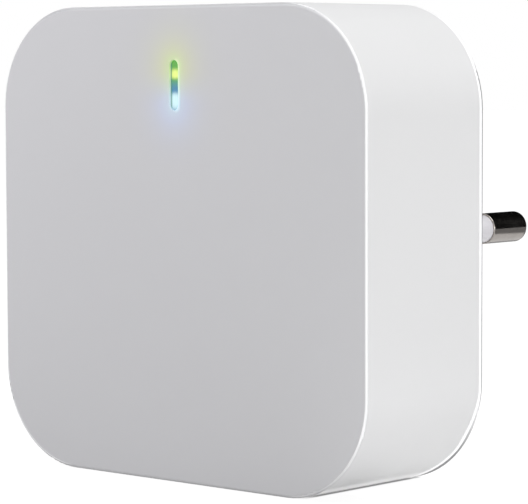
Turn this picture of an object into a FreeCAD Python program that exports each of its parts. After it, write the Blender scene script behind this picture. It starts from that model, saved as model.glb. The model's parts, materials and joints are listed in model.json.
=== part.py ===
import FreeCAD, Part
import os
import re

import Sketcher
from FreeCAD import Placement, Rotation, Vector

# A plug-in wireless gateway: a shallow box with a light slot in its front, carried by a two-pin
# plug base on its rear. The front faces -Y, the pins point along +Y, X runs to the right and Z up.
# The origin is the middle of the plug base's end face, which meets the socket. Sizes are in mm.
# A level is a distance ahead of that face, so a point at level L lies at Y = -L.

DOCUMENT = FreeCAD.newDocument("plug_in_gateway")
SHEET = DOCUMENT.addObject("Spreadsheet::Sheet", "sizes")
FRONT_VIEW = "XZ_Plane"
SIDE_VIEW = "YZ_Plane"
TOP_VIEW = "XY_Plane"
FOUR_CORNERS = ((-1, -1), (1, -1), (1, 1), (-1, 1))
PLANE_TOLERANCE = 1e-4
QUARTER_TURN = 90
THIRD_TURN = 120
HALF_TURN = 180
FULL_TURN = 360

DRIVING = (
    ("body_width", 59.5, "housing, across"),
    ("body_height", 57.0, "housing, upright"),
    ("body_depth", 22.4, "front face to the cover's rear face"),
    ("corner_round", 12.3, "radius of the housing's four corners"),
    ("side_wall", 2.0, "wall of the housing's sides"),
    ("front_wall", 2.0, "wall of the housing's front"),
    ("front_edge", 0.4, "rounding of the front edge"),
    ("rear_edge", 0.35, "rounding of the housing's rear edge"),
    ("tower_inset", 7.0, "screw tower's middle, in from the outside"),
    ("tower_radius", 3.0, "screw tower, outside"),
    ("pilot_radius", 0.95, "screw hole in plastic"),
    ("thread_fit", 0.02, "screw to its hole"),
    ("post_across", 13.0, "upper board posts, out from the middle"),
    ("post_edge", 6.5, "upper board posts, below the housing's top"),
    ("post_foot", 7.0, "lower board post, above the housing's bottom"),
    ("post_radius", 2.4, "board post, outside"),
    ("rib_thick", 0.9, "ribs inside the housing"),
    ("rib_fit", 0.1, "edge ribs to the main board"),
    ("rib_spread", 10.0, "edge ribs, out from the middle of a side"),
    ("cover_step", 1.1, "how far the cover stands out of the housing"),
    ("cover_inset", 0.7, "cover's edge, in from the housing's side"),
    ("cover_edge", 0.4, "rounding of the cover's rear edge"),
    ("cover_wall", 2.0, "thickness of the cover"),
    ("cover_fit", 0.1, "cover to the inside of the housing"),
    ("lip_height", 2.4, "locating lips on the cover"),
    ("lip_wall", 1.2, "thickness of the locating lips"),
    ("lip_long", 14.0, "length of each locating lip"),
    ("base_height", 14.4, "plug base, cover to end face"),
    ("base_width", 34.6, "plug base, across"),
    ("base_thick", 13.7, "plug base, upright"),
    ("base_bevel", 4.0, "bevels at the plug base's corners"),
    ("base_edge", 0.8, "rounding of the plug base's end"),
    ("base_root", 1.0, "rounding where the plug base leaves the cover"),
    ("base_wall", 1.9, "side wall of the hollow plug base"),
    ("base_end_wall", 2.6, "end wall of the plug base"),
    ("pin_spacing", 19.0, "pin to pin, middle to middle"),
    ("pin_radius", 2.0, "bare end of a pin"),
    ("pin_length", 18.5, "pin, end face to tip"),
    ("pin_tip", 0.8, "rounding of the pin's tip"),
    ("pin_shoulder", 0.15, "rounding of the bare end beside its sleeve"),
    ("pin_core", 1.45, "pin under its sleeve"),
    ("pin_head", 2.6, "pin's head inside the base"),
    ("pin_head_long", 3.0, "length of the pin's head"),
    ("rivet_radius", 1.0, "rivet stub on the pin's head"),
    ("rivet_long", 0.9, "length of the rivet stub"),
    ("sleeve_radius", 1.8, "insulating sleeve, outside"),
    ("sleeve_length", 11.0, "sleeve outside the plug base"),
    ("sleeve_root", 4.4, "sleeve inside the plug base"),
    ("socket_wall", 1.1, "wall of the tube that holds a pin"),
    ("push_fit", 0.03, "pin, sleeve and lens in their holes"),
    ("strip_thick", 0.5, "contact strip"),
    ("strip_width", 3.0, "width of the contact strip"),
    ("strip_clear", 1.4, "strip's leg to the inside of the plug base"),
    ("strip_stand", 0.8, "strip's end past the power board"),
    ("strip_bend", 0.5, "inside radius of the strip's bend"),
    ("slot_width", 1.4, "light slot, across"),
    ("slot_height", 6.0, "light slot, upright"),
    ("slot_drop", 9.5, "light slot's middle, below the housing's top"),
    ("lens_recess", 0.25, "lens, back from the front face"),
    ("flange_width", 3.6, "light guide's flange, across"),
    ("flange_height", 8.4, "light guide's flange, upright"),
    ("flange_thick", 0.8, "light guide's flange"),
    ("light_pitch", 3.1, "from lamp to lamp"),
    ("prong_width", 1.7, "light guide's prongs"),
    ("lamp_gap", 0.15, "prong to lamp"),
    ("lamp_width", 2.0, "lamp, across"),
    ("lamp_height", 1.25, "lamp, upright"),
    ("lamp_thick", 0.8, "lamp, off the board"),
    ("lamp_base", 0.5, "package of a lamp under its window"),
    ("lamp_window", 1.2, "window on a lamp, across"),
    ("shroud_width", 6.6, "light shroud, across"),
    ("shroud_height", 11.0, "light shroud, upright"),
    ("window_width", 2.5, "shroud's windows, across"),
    ("window_height", 2.3, "shroud's windows, upright"),
    ("collar_wall", 1.0, "collar round the light guide's flange"),
    ("board_thick", 1.2, "circuit boards"),
    ("main_stand", 3.6, "main board, back from the front wall"),
    ("main_gap", 0.7, "main board to the side walls"),
    ("notch_fit", 0.4, "main board's notches to the towers"),
    ("board_corner", 0.8, "rounded corners of the boards"),
    ("board_hole", 1.15, "screw holes in the boards"),
    ("power_stand", 1.8, "power board, ahead of the cover"),
    ("power_gap", 0.75, "power board to the screw towers"),
    ("power_end_gap", 1.5, "power board to the top and bottom walls"),
    ("power_post_inset", 3.5, "power board posts, in from the board's edges"),
    ("head_radius", 1.9, "screw heads"),
    ("head_thick", 0.9, "screw heads"),
    ("drive_long", 2.2, "cross recess, length"),
    ("drive_wide", 0.5, "cross recess, width"),
    ("drive_deep", 0.5, "cross recess, depth"),
    ("head_pocket", 0.25, "screw head to its pocket"),
    ("pocket_deep", 1.1, "screw pockets in the cover"),
    ("housing_screw", 7.0, "housing screws under the head"),
    ("board_screw", 4.0, "board screws under the head"),
    ("blind_end", 0.4, "hole past the end of its screw"),
    ("button_height", 7.0, "reset button, upright"),
    ("button_thick", 3.0, "reset button, front to rear"),
    ("button_proud", 0.4, "reset button, out of the side"),
    ("button_fit", 0.15, "reset button to its slot"),
    ("button_flange", 0.8, "flange behind the reset button"),
    ("button_stop", 0.1, "flange to the side wall"),
    ("button_ledge", 1.0, "flange past the button's ends"),
    ("button_edge", 0.3, "rounding of the button's face"),
    ("stem_height", 2.6, "button's stem, upright"),
    ("stem_thick", 1.4, "button's stem, front to rear"),
    ("press_travel", 0.35, "how far the button travels"),
    ("switch_inset", 2.75, "switch, in from the side wall"),
    ("switch_long", 3.6, "switch, across"),
    ("switch_height", 6.0, "switch, upright"),
    ("switch_thick", 3.4, "switch, off the board"),
    ("plunger_reach", 1.0, "plunger out of the switch"),
    ("plunger_root", 0.7, "plunger inside the switch"),
    ("plunger_fit", 0.1, "plunger to its hole"),
    ("pin_count", 5, "pins of the board connector"),
    ("pin_pitch", 2.54, "board connector, pin to pin"),
    ("pin_square", 0.64, "board connector's pins"),
    ("connector_wide", 2.5, "board connector, upright"),
    ("connector_edge", 7.5, "board connector, above the power board's bottom"),
    ("header_thick", 2.5, "board connector's lower half"),
    ("connector_gap", 0.2, "between the connector's halves"),
    ("pin_tail", 1.1, "connector pins past the power board"),
    ("pin_headroom", 1.5, "connector pins to the main board"),
    ("pin_hole", 0.86, "holes for the connector pins"),
    ("module_edge", 1.2, "modules, in from the main board's sides"),
    ("module_lift", 0.5, "modules, above the board's notches"),
    ("wifi_width", 15.0, "wireless module, across"),
    ("wifi_height", 24.0, "wireless module, upright"),
    ("mesh_width", 14.0, "mesh radio module, across"),
    ("mesh_height", 20.0, "mesh radio module, upright"),
    ("module_thick", 0.8, "module boards"),
    ("shield_thick", 2.1, "shield cans"),
    ("shield_sheet", 0.25, "sheet of the shield cans"),
    ("shield_border", 0.9, "module board past its shield can"),
    ("antenna_long", 6.0, "end of a module left bare for its antenna"),
    ("shield_edge", 0.4, "rounding of the shield cans"),
    ("core_width", 13.0, "transformer core, across"),
    ("core_height", 12.6, "transformer core, upright"),
    ("winding_headroom", 1.04, "transformer to the main board"),
    ("core_leg", 3.4, "middle leg of the core"),
    ("core_side", 1.8, "outer legs of the core"),
    ("core_yoke", 2.2, "yokes of the core"),
    ("core_drop", 4.0, "transformer's middle, below the middle"),
    ("bobbin_wall", 0.4, "bobbin's tube"),
    ("bobbin_fit", 0.08, "bobbin on the core"),
    ("bobbin_flange", 0.5, "bobbin's flanges"),
    ("bobbin_pin", 0.2, "bobbin's pins, radius"),
    ("winding_build", 1.6, "winding on the bobbin"),
    ("winding_round", 0.8, "winding's corners"),
    ("can_headroom", 3.4, "bulk capacitors to the main board"),
    ("can_long", 11.0, "bulk capacitors"),
    ("can_across", 10.8, "bulk capacitors, out from the middle"),
    ("can_edge", 10.8, "bulk capacitors, below the power board's top"),
    ("short_headroom", 2.2, "output capacitor to the main board"),
    ("short_across", 12.6, "output capacitor, right of the middle"),
    ("short_drop", 10.8, "output capacitor, below the middle"),
    ("can_lift", 0.1, "capacitors off the board"),
    ("can_bead", 0.3, "groove and crown of a capacitor"),
    ("choke_radius", 2.9, "filter inductor's flanges"),
    ("choke_core", 1.9, "filter inductor's waist"),
    ("choke_headroom", 2.8, "filter inductor to the main board"),
    ("choke_flange", 1.0, "filter inductor's flanges, thickness"),
    ("fuse_radius", 1.6, "fusible resistor"),
    ("fuse_long", 9.0, "fusible resistor"),
    ("fuse_cap", 1.8, "swollen ends of the fusible resistor"),
    ("fuse_across", 5.0, "fusible resistor, right of the middle"),
    ("fuse_edge", 3.1, "fusible resistor, below the power board's top"),
    ("disc_headroom", 2.4, "discs to the main board"),
    ("varistor_across", 6.0, "varistor, left of the middle"),
    ("varistor_edge", 3.4, "varistor, below the power board's top"),
    ("safety_across", 12.0, "safety capacitor, left of the middle"),
    ("safety_drop", 9.0, "safety capacitor, below the middle"),
    ("disc_thick", 3.2, "varistor and safety capacitor"),
    ("disc_rim", 1.3, "straight rim of a disc"),
    ("disc_slope", 0.7, "slope round a disc's face"),
    ("disc_lift", 0.6, "discs off the board"),
    ("bridge_across", 10.5, "bridge rectifier, left of the middle"),
    ("bridge_rise", 6.0, "bridge rectifier, above the middle"),
    ("bridge_width", 4.0, "bridge rectifier, across"),
    ("bridge_height", 4.8, "bridge rectifier, upright"),
    ("bridge_thick", 1.7, "bridge rectifier"),
    ("bridge_legs", 2, "bridge rectifier, legs on each side"),
    ("driver_across", 10.8, "power controller, right of the middle"),
    ("driver_rise", 6.0, "power controller, above the middle"),
    ("driver_width", 3.9, "power controller, across"),
    ("driver_height", 4.9, "power controller, upright"),
    ("driver_thick", 1.5, "power controller"),
    ("driver_legs", 4, "power controller, legs on each side"),
    ("diode_across", 11.5, "output diode, right of the middle"),
    ("diode_drop", 4.8, "output diode, below the middle"),
    ("diode_width", 4.3, "output diode, across"),
    ("diode_height", 2.6, "output diode, upright"),
    ("diode_thick", 2.2, "output diode"),
    ("diode_legs", 1, "output diode, legs on each side"),
    ("regulator_inset", 4.95, "voltage regulator, in from the side wall"),
    ("regulator_width", 3.5, "voltage regulator, across"),
    ("regulator_height", 6.5, "voltage regulator, upright"),
    ("regulator_thick", 1.6, "voltage regulator"),
    ("regulator_legs", 3, "voltage regulator, legs on each side"),
    ("lead_radius", 0.3, "wire leads"),
    ("lead_fit", 0.1, "leads and bobbin pins in their holes"),
    ("lead_tail", 1.0, "leads past the power board"),
    ("lead_bend", 1.2, "bend of a lead, past the end of its component"),
    ("can_leads", 2.5, "capacitors, lead to lead"),
    ("choke_leads", 3.0, "filter inductor, lead to lead"),
    ("disc_leads", 5.0, "varistor and safety capacitor, lead to lead"),
    ("leg_reach", 0.8, "legs past a circuit package"),
    ("leg_thick", 0.3, "legs of a circuit package"),
    ("tube_short", 0.8, "pin's head past the tube that holds it"),
    ("root_sink", 0.1, "how far a boss starts inside its wall"),
    ("cut_past", 1.0, "how far a cut runs past a face"),
)

WORKED_OUT = (
    ("half_width", "body_width / 2"),
    ("half_height", "body_height / 2"),
    ("slot_rise", "half_height - slot_drop"),
    ("post_up", "half_height - post_edge"),
    ("post_down", "half_height - post_foot"),
    ("cavity_width", "body_width - 2 * side_wall"),
    ("cavity_height", "body_height - 2 * side_wall"),
    ("cavity_round", "corner_round - side_wall"),
    ("back_level", "base_height"),
    ("seam_level", "back_level + cover_step"),
    ("cover_inner", "back_level + cover_wall"),
    ("front_level", "back_level + body_depth"),
    ("front_inner", "front_level - front_wall"),
    ("main_front", "front_inner - main_stand"),
    ("main_back", "main_front - board_thick"),
    ("power_back", "cover_inner + power_stand"),
    ("power_front", "power_back + board_thick"),
    ("tower_across", "half_width - tower_inset"),
    ("tower_up", "half_height - tower_inset"),
    ("notch_across", "tower_across - tower_radius - notch_fit"),
    ("notch_up", "tower_up - tower_radius - notch_fit"),
    ("main_across", "cavity_width / 2 - main_gap"),
    ("main_up", "cavity_height / 2 - main_gap"),
    ("power_width", "2 * (tower_across - tower_radius - power_gap)"),
    ("power_height", "cavity_height - 2 * power_end_gap"),
    ("power_top", "power_height / 2"),
    ("power_post_across", "power_width / 2 - power_post_inset"),
    ("power_post_up", "power_height / 2 - power_post_inset"),
    ("board_gap", "main_back - power_front"),
    ("wifi_across", "main_across - module_edge - wifi_width / 2"),
    ("wifi_drop", "notch_up - module_lift - wifi_height / 2"),
    ("mesh_across", "main_across - module_edge - mesh_width / 2"),
    ("mesh_drop", "notch_up - module_lift - mesh_height / 2"),
    ("screw_radius", "pilot_radius - thread_fit"),
    ("pocket_floor", "back_level + pocket_deep"),
    ("pin_across", "pin_spacing / 2"),
    ("sleeve_bore", "pin_core + push_fit"),
    ("head_level", "sleeve_root + pin_head_long"),
    ("strip_shift", "base_width / 2 - base_wall - strip_clear - strip_thick - pin_across"),
    ("flange_level", "front_inner - flange_thick"),
    ("lamp_top", "main_front + lamp_thick"),
    ("button_level", "main_back - switch_thick / 2"),
    ("wall_inner", "cavity_width / 2"),
    ("switch_face", "wall_inner - switch_inset"),
    ("plunger_tip", "switch_face + plunger_reach"),
    ("flange_outer", "wall_inner - button_stop"),
    ("flange_inner", "flange_outer - button_flange"),
    ("header_top", "power_front + header_thick"),
    ("connector_drop", "power_top - connector_edge"),
    ("pin_rise", "main_back - header_top - pin_headroom"),
    ("regulator_across", "wall_inner - regulator_inset"),
    ("winding_wide", "core_leg + 2 * (bobbin_fit + bobbin_wall + winding_build)"),
    ("winding_thick", "board_gap - winding_headroom - 2 * bobbin_flange"),
    ("core_thick", "winding_thick - 2 * (bobbin_fit + bobbin_wall + winding_build)"),
    ("window_high", "core_height - 2 * core_yoke"),
    ("core_level", "power_front + bobbin_flange + winding_thick / 2"),
    ("can_radius", "(board_gap - can_lift - can_headroom) / 2"),
    ("can_rise", "power_top - can_edge"),
    ("can_short", "board_gap - can_lift - short_headroom"),
    ("choke_tall", "board_gap - choke_headroom"),
    ("disc_radius", "(board_gap - disc_lift - disc_headroom) / 2"),
    ("lead_down", "board_thick + lead_tail"),
)

ALIASES = {row[0] for row in DRIVING + WORKED_OUT}


def fill_sheet():
    """Writes every size into the sheet, with its meaning beside a driving one."""
    for number, (alias, value, meaning) in enumerate(DRIVING, start=1):
        SHEET.set("A%d" % number, alias)
        SHEET.set("B%d" % number, str(value))
        SHEET.setAlias("B%d" % number, alias)
        SHEET.set("C%d" % number, meaning)
    for number, (alias, formula) in enumerate(WORKED_OUT, start=len(DRIVING) + 1):
        SHEET.set("A%d" % number, alias)
        SHEET.set("B%d" % number, "=" + formula)
        SHEET.setAlias("B%d" % number, alias)
    DOCUMENT.recompute()


def from_sheet(formula):
    """Puts the sheet's name before each alias in a formula."""
    return re.sub(r"[a-z_]+", lambda word: "sizes." + word.group(0) if word.group(0) in ALIASES
                  else word.group(0), formula)


def value_of(formula):
    return float(SHEET.evalExpression(formula))


def bind(thing, name, formula):
    thing.setExpression(name, from_sheet(formula))


def new_body(label):
    body = DOCUMENT.addObject("PartDesign::Body", label)
    body.Label = label
    return body


def new_sketch(body, view, start):
    """A sketch on one of the body's own planes, moved along the plane's normal by start."""
    sketch = body.newObject("Sketcher::SketchObject", body.Label + "_outline")
    plane = next(item for item in body.Origin.OriginFeatures if item.Role == view)
    sketch.AttachmentSupport = [(plane, "")]
    sketch.MapMode = "FlatFace"
    bind(sketch, "AttachmentOffset.Base.z", start)
    return sketch


def set_size(sketch, constraint, formula):
    number = sketch.addConstraint(constraint)
    bind(sketch, "Constraints[%d]" % number, formula)


def set_place(sketch, geometry, point, across, up):
    """Ties one point of the sketch's geometry to its distances from the sketch's origin."""
    set_size(sketch, Sketcher.Constraint("DistanceX", -1, 1, geometry, point, value_of(across)), across)
    set_size(sketch, Sketcher.Constraint("DistanceY", -1, 1, geometry, point, value_of(up)), up)


def circle(across, up, radius):
    """Returns what draws a circle."""
    def draw(sketch):
        middle = Vector(value_of(across), value_of(up), 0)
        number = sketch.addGeometry(Part.Circle(middle, Vector(0, 0, 1), value_of(radius)))
        set_place(sketch, number, 3, across, up)
        set_size(sketch, Sketcher.Constraint("Radius", number, value_of(radius)), radius)
    return draw


def polygon(corners):
    """Returns what draws a closed outline of straight edges through the given corners."""
    def draw(sketch):
        points = [Vector(value_of(across), value_of(up), 0) for across, up in corners]
        first = sketch.GeometryCount
        for number, point in enumerate(points):
            sketch.addGeometry(Part.LineSegment(point, points[(number + 1) % len(points)]))
        for number, (across, up) in enumerate(corners):
            following = first + (number + 1) % len(points)
            sketch.addConstraint(Sketcher.Constraint("Coincident", first + number, 2, following, 1))
            set_place(sketch, first + number, 1, across, up)
    return draw


def rectangle(across, up, wide, tall):
    """Returns what draws a rectangle about its middle."""
    left = "(%s) - (%s) / 2" % (across, wide)
    right = "(%s) + (%s) / 2" % (across, wide)
    low = "(%s) - (%s) / 2" % (up, tall)
    high = "(%s) + (%s) / 2" % (up, tall)
    return polygon([(left, low), (right, low), (right, high), (left, high)])


def arc_about(middle, radius, start, end):
    whole = Part.Circle(middle, Vector(0, 0, 1), radius)
    return Part.ArcOfCircle(whole, FreeCAD.Units.Quantity("%f deg" % start).getValueAs("rad").Value,
                            FreeCAD.Units.Quantity("%f deg" % end).getValueAs("rad").Value)


def rounded_rectangle(across, up, wide, tall, corner):
    """Returns what draws a rectangle whose corners are arcs tangent to its sides."""
    def draw(sketch):
        x_mid, y_mid, radius = value_of(across), value_of(up), value_of(corner)
        x_reach = value_of(wide) / 2 - radius
        y_reach = value_of(tall) / 2 - radius
        first = sketch.GeometryCount
        middles = [Vector(x_mid + x_sign * x_reach, y_mid + y_sign * y_reach, 0)
                   for x_sign, y_sign in FOUR_CORNERS]
        for number, middle in enumerate(middles):
            start = HALF_TURN + QUARTER_TURN * number
            sketch.addGeometry(arc_about(middle, radius, start, start + QUARTER_TURN))
        for number in range(4):
            here = sketch.getPoint(first + number, 2)
            there = sketch.getPoint(first + (number + 1) % 4, 1)
            sketch.addGeometry(Part.LineSegment(here, there))
        for number in range(4):
            side = first + 4 + number
            following = first + (number + 1) % 4
            sketch.addConstraint(Sketcher.Constraint("Tangent", first + number, 2, side, 1))
            sketch.addConstraint(Sketcher.Constraint("Tangent", side, 2, following, 1))
            kind = "Horizontal" if number % 2 == 0 else "Vertical"
            sketch.addConstraint(Sketcher.Constraint(kind, side))
            if number:
                sketch.addConstraint(Sketcher.Constraint("Equal", first, first + number))
        set_size(sketch, Sketcher.Constraint("Radius", first, radius), corner)
        set_place(sketch, first, 3, "(%s) - (%s) / 2 + (%s)" % (across, wide, corner),
                  "(%s) - (%s) / 2 + (%s)" % (up, tall, corner))
        set_place(sketch, first + 2, 3, "(%s) + (%s) / 2 - (%s)" % (across, wide, corner),
                  "(%s) + (%s) / 2 - (%s)" % (up, tall, corner))
    return draw


def upright_slot(across, up, wide, tall):
    """Returns what draws a round-ended slot that stands upright."""
    def draw(sketch):
        x_mid, y_mid, radius = value_of(across), value_of(up), value_of(wide) / 2
        reach = value_of(tall) / 2 - radius
        first = sketch.GeometryCount
        low, high = Vector(x_mid, y_mid - reach, 0), Vector(x_mid, y_mid + reach, 0)
        sketch.addGeometry(arc_about(low, radius, HALF_TURN, FULL_TURN))
        sketch.addGeometry(arc_about(high, radius, 0, HALF_TURN))
        for number in range(2):
            here = sketch.getPoint(first + number, 2)
            there = sketch.getPoint(first + 1 - number, 1)
            side = sketch.addGeometry(Part.LineSegment(here, there))
            sketch.addConstraint(Sketcher.Constraint("Tangent", first + number, 2, side, 1))
            sketch.addConstraint(Sketcher.Constraint("Tangent", side, 2, first + 1 - number, 1))
            sketch.addConstraint(Sketcher.Constraint("Vertical", side))
        set_size(sketch, Sketcher.Constraint("Radius", first, radius), "(%s) / 2" % wide)
        set_place(sketch, first, 3, across, "(%s) - (%s) / 2 + (%s) / 2" % (up, tall, wide))
        upper = "(%s) + (%s) / 2 - (%s) / 2" % (up, tall, wide)
        set_size(sketch, Sketcher.Constraint("DistanceY", -1, 1, first + 1, 3, value_of(upper)), upper)
    return draw


def extrude(body, shapes, start, end, view=FRONT_VIEW, cut=False):
    """Adds or cuts a prism from start to end, both measured along the view's normal."""
    sketch = new_sketch(body, view, start)
    for draw in shapes:
        draw(sketch)
    kind = "PartDesign::Pocket" if cut else "PartDesign::Pad"
    feature = body.newObject(kind, body.Label + ("_cut" if cut else "_block"))
    feature.Profile = sketch
    feature.Reversed = cut
    bind(feature, "Length", "(%s) - (%s)" % (end, start))
    sketch.Visibility = False
    DOCUMENT.recompute()
    return feature


def revolve(body, outline):
    """Turns an outline of (radius, distance along Y) corners about the body's Y axis."""
    sketch = new_sketch(body, TOP_VIEW, "0")
    polygon(outline)(sketch)
    feature = body.newObject("PartDesign::Revolution", body.Label + "_turned")
    feature.Profile = sketch
    feature.ReferenceAxis = (sketch, ["V_Axis"])
    feature.Angle = FULL_TURN
    DOCUMENT.recompute()
    return feature


def round_edges(body, wanted, radius):
    """Rounds the edges of the body's last feature that the wanted test picks."""
    base = body.Tip
    names = ["Edge%d" % number for number, edge in enumerate(base.Shape.Edges, start=1) if wanted(edge)]
    feature = body.newObject("PartDesign::Fillet", body.Label + "_round")
    feature.Base = (base, names)
    bind(feature, "Radius", radius)
    DOCUMENT.recompute()
    return feature


def at_level(formula):
    """Tests whether an edge lies in the plane of a level."""
    place = -value_of(formula)
    return lambda edge: (abs(edge.BoundBox.YMin - place) < PLANE_TOLERANCE
                         and abs(edge.BoundBox.YMax - place) < PLANE_TOLERANCE)


def inside_box(edge, x_reach, z_reach):
    box = edge.BoundBox
    return max(abs(box.XMin), abs(box.XMax)) < x_reach and max(abs(box.ZMin), abs(box.ZMax)) < z_reach


def runs_deep(edge):
    """Tests whether an edge is straight and runs from front to rear."""
    box = edge.BoundBox
    return box.XLength < PLANE_TOLERANCE and box.ZLength < PLANE_TOLERANCE


def place_body(body, across="0", level="0", up="0", turn=None):
    """Puts a body's origin at a place, after a turn given as an axis and degrees."""
    if turn:
        body.Placement = Placement(Vector(), Rotation(*turn))
    bind(body, "Placement.Base.x", across)
    bind(body, "Placement.Base.y", "-(%s)" % level)
    bind(body, "Placement.Base.z", up)


def signed(sign, formula):
    return formula if sign > 0 else "-(%s)" % formula


def tower_places():
    return [(signed(x_sign, "tower_across"), signed(z_sign, "tower_up")) for x_sign, z_sign in FOUR_CORNERS]


def main_post_places():
    return [("-post_across", "post_up"), ("post_across", "post_up"), ("0", "-post_down")]


def power_post_places():
    return [(signed(sign, "power_post_across"), signed(-sign, "power_post_up")) for sign in (-1, 1)]


def lead_places():
    """Where the components' wire leads pass through the power board."""
    places = []
    for sign in (-1, 1):
        can_lead, disc_lead = signed(sign, "can_leads / 2"), signed(sign, "disc_leads / 2")
        fuse_lead = signed(sign, "(fuse_long / 2 + lead_bend)")
        places += [("short_across + (%s)" % can_lead, "-short_drop"),
                   (signed(sign, "choke_leads / 2"), "can_rise"),
                   ("(%s) - varistor_across" % disc_lead, "power_top - varistor_edge"),
                   ("-safety_across", "(%s) - safety_drop" % disc_lead),
                   ("fuse_across + (%s)" % fuse_lead, "power_top - fuse_edge")]
        inner_end = signed(sign, "(can_across - can_long / 2 - lead_bend)")
        places += [(inner_end, "can_rise + (%s)" % signed(step, "can_leads / 2")) for step in (-1, 1)]
    return places


def bobbin_pin_places():
    """Where the bobbin's pins pass through the power board, three under each flange."""
    flange = "(window_high / 2 - bobbin_fit - bobbin_flange / 2)"
    return [("(%d) * pin_pitch" % number, "(%s) - core_drop" % signed(sign, flange))
            for number in (-1, 0, 1) for sign in (-1, 1)]


def circles(places, radius):
    return [circle(across, up, radius) for across, up in places]


def make_front_housing():
    """The one-piece front shell: face, side wall, screw towers, board posts, light slot."""
    body = new_body("front_housing")
    outline = rounded_rectangle("0", "0", "body_width", "body_height", "corner_round")
    extrude(body, [outline], "seam_level", "front_level")
    round_edges(body, at_level("front_level"), "front_edge")
    round_edges(body, at_level("seam_level"), "rear_edge")
    cavity = rounded_rectangle("0", "0", "cavity_width", "cavity_height", "cavity_round")
    extrude(body, [cavity], "seam_level", "front_inner", cut=True)
    extrude(body, circles(tower_places(), "tower_radius"), "cover_inner", "front_inner")
    extrude(body, circles(main_post_places(), "post_radius"), "main_front", "front_inner")
    make_housing_ribs(body)
    collar = [rectangle("0", "slot_rise", "flange_width + 2 * collar_wall + 2 * cover_fit",
                        "flange_height + 2 * collar_wall + 2 * cover_fit"),
              rectangle("0", "slot_rise", "flange_width + 2 * cover_fit", "flange_height + 2 * cover_fit")]
    extrude(body, collar, "flange_level", "front_inner")
    slot = upright_slot("0", "slot_rise", "slot_width", "slot_height")
    extrude(body, [slot], "front_inner - cut_past", "front_level + cut_past", cut=True)
    extrude(body, circles(tower_places(), "pilot_radius"),
            "cover_inner - cut_past", "pocket_floor + housing_screw + blind_end", cut=True)
    extrude(body, circles(main_post_places(), "pilot_radius"),
            "main_front - cut_past", "main_back + board_screw + blind_end", cut=True)
    button_slot = upright_slot("-button_level", "0", "button_thick + 2 * button_fit",
                               "button_height + 2 * button_fit")
    extrude(body, [button_slot], "-half_width - cut_past", "cut_past - wall_inner", view=SIDE_VIEW,
            cut=True)
    return body


def make_housing_ribs(body):
    """Short ribs inside the side wall, which centre the main board and stiffen the shell."""
    long = "main_gap - rib_fit + side_wall / 2"
    ribs = []
    for sign in (-1, 1):
        for step in (-1, 1):
            up = signed(sign, "cavity_height / 2 + side_wall / 2 - (%s) / 2" % long)
            ribs.append(rectangle(signed(step, "rib_spread"), up, "rib_thick", long))
            across = signed(sign, "cavity_width / 2 + side_wall / 2 - (%s) / 2" % long)
            ribs.append(rectangle(across, signed(step, "rib_spread"), long, "rib_thick"))
    extrude(body, ribs, "main_back", "front_inner")


def make_rear_cover():
    """The rear cover with its locating lips, screw pockets and the hollow plug base."""
    body = new_body("rear_cover")
    plate = rounded_rectangle("0", "0", "body_width - 2 * cover_inset", "body_height - 2 * cover_inset",
                              "corner_round - cover_inset")
    extrude(body, [plate], "back_level", "seam_level")
    round_edges(body, at_level("back_level"), "cover_edge")
    spigot = rounded_rectangle("0", "0", "cavity_width - 2 * cover_fit", "cavity_height - 2 * cover_fit",
                               "cavity_round - cover_fit")
    extrude(body, [spigot], "seam_level", "cover_inner")
    base = polygon([("-base_width / 2", "base_bevel - base_thick / 2"),
                    ("base_bevel - base_width / 2", "-base_thick / 2"),
                    ("base_width / 2 - base_bevel", "-base_thick / 2"),
                    ("base_width / 2", "base_bevel - base_thick / 2"),
                    ("base_width / 2", "base_thick / 2 - base_bevel"),
                    ("base_width / 2 - base_bevel", "base_thick / 2"),
                    ("base_bevel - base_width / 2", "base_thick / 2"),
                    ("-base_width / 2", "base_thick / 2 - base_bevel")])
    extrude(body, [base], "0", "back_level")
    base_reach = value_of("base_width / 2 + cut_past")
    round_edges(body, lambda edge: runs_deep(edge) and inside_box(edge, base_reach, base_reach),
                "base_edge")
    round_edges(body, at_level("0"), "base_edge")
    round_edges(body, lambda edge: at_level("back_level")(edge)
                and inside_box(edge, base_reach, value_of("base_thick")), "base_root")
    hollow = rounded_rectangle("0", "0", "base_width - 2 * base_wall", "base_thick - 2 * base_wall",
                               "base_bevel - base_wall / 2")
    extrude(body, [hollow], "base_end_wall", "cover_inner + cut_past", cut=True)
    pins = [(signed(sign, "pin_across"), "0") for sign in (-1, 1)]
    extrude(body, circles(pins, "pin_head + push_fit + socket_wall"), "base_end_wall - root_sink",
            "head_level - tube_short")
    extrude(body, circles(pins, "sleeve_radius + push_fit"), "-cut_past", "sleeve_root", cut=True)
    extrude(body, circles(pins, "pin_head + push_fit"), "sleeve_root", "head_level", cut=True)
    make_cover_lips(body)
    extrude(body, circles(power_post_places(), "post_radius"), "cover_inner - root_sink", "power_back")
    rests = [(signed(sign, "power_post_across"), signed(sign, "power_post_up")) for sign in (-1, 1)]
    extrude(body, circles(rests, "post_radius"), "cover_inner - root_sink", "power_back")
    extrude(body, circles(power_post_places(), "pilot_radius"),
            "power_front - board_screw", "power_back + cut_past", cut=True)
    extrude(body, circles(tower_places(), "head_radius + head_pocket"), "back_level - cut_past",
            "pocket_floor", cut=True)
    extrude(body, circles(tower_places(), "board_hole"), "pocket_floor - root_sink",
            "cover_inner + cut_past", cut=True)
    return body


def make_cover_lips(body):
    """Four straight lips that stand inside the housing's side wall."""
    x_place = "cavity_width / 2 - cover_fit - lip_wall / 2"
    z_place = "cavity_height / 2 - cover_fit - lip_wall / 2"
    lips = []
    for sign in (-1, 1):
        lips.append(rectangle(signed(sign, x_place), "0", "lip_wall", "lip_long"))
        lips.append(rectangle("0", signed(sign, z_place), "lip_long", "lip_wall"))
    extrude(body, lips, "cover_inner - root_sink", "cover_inner + lip_height")


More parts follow.
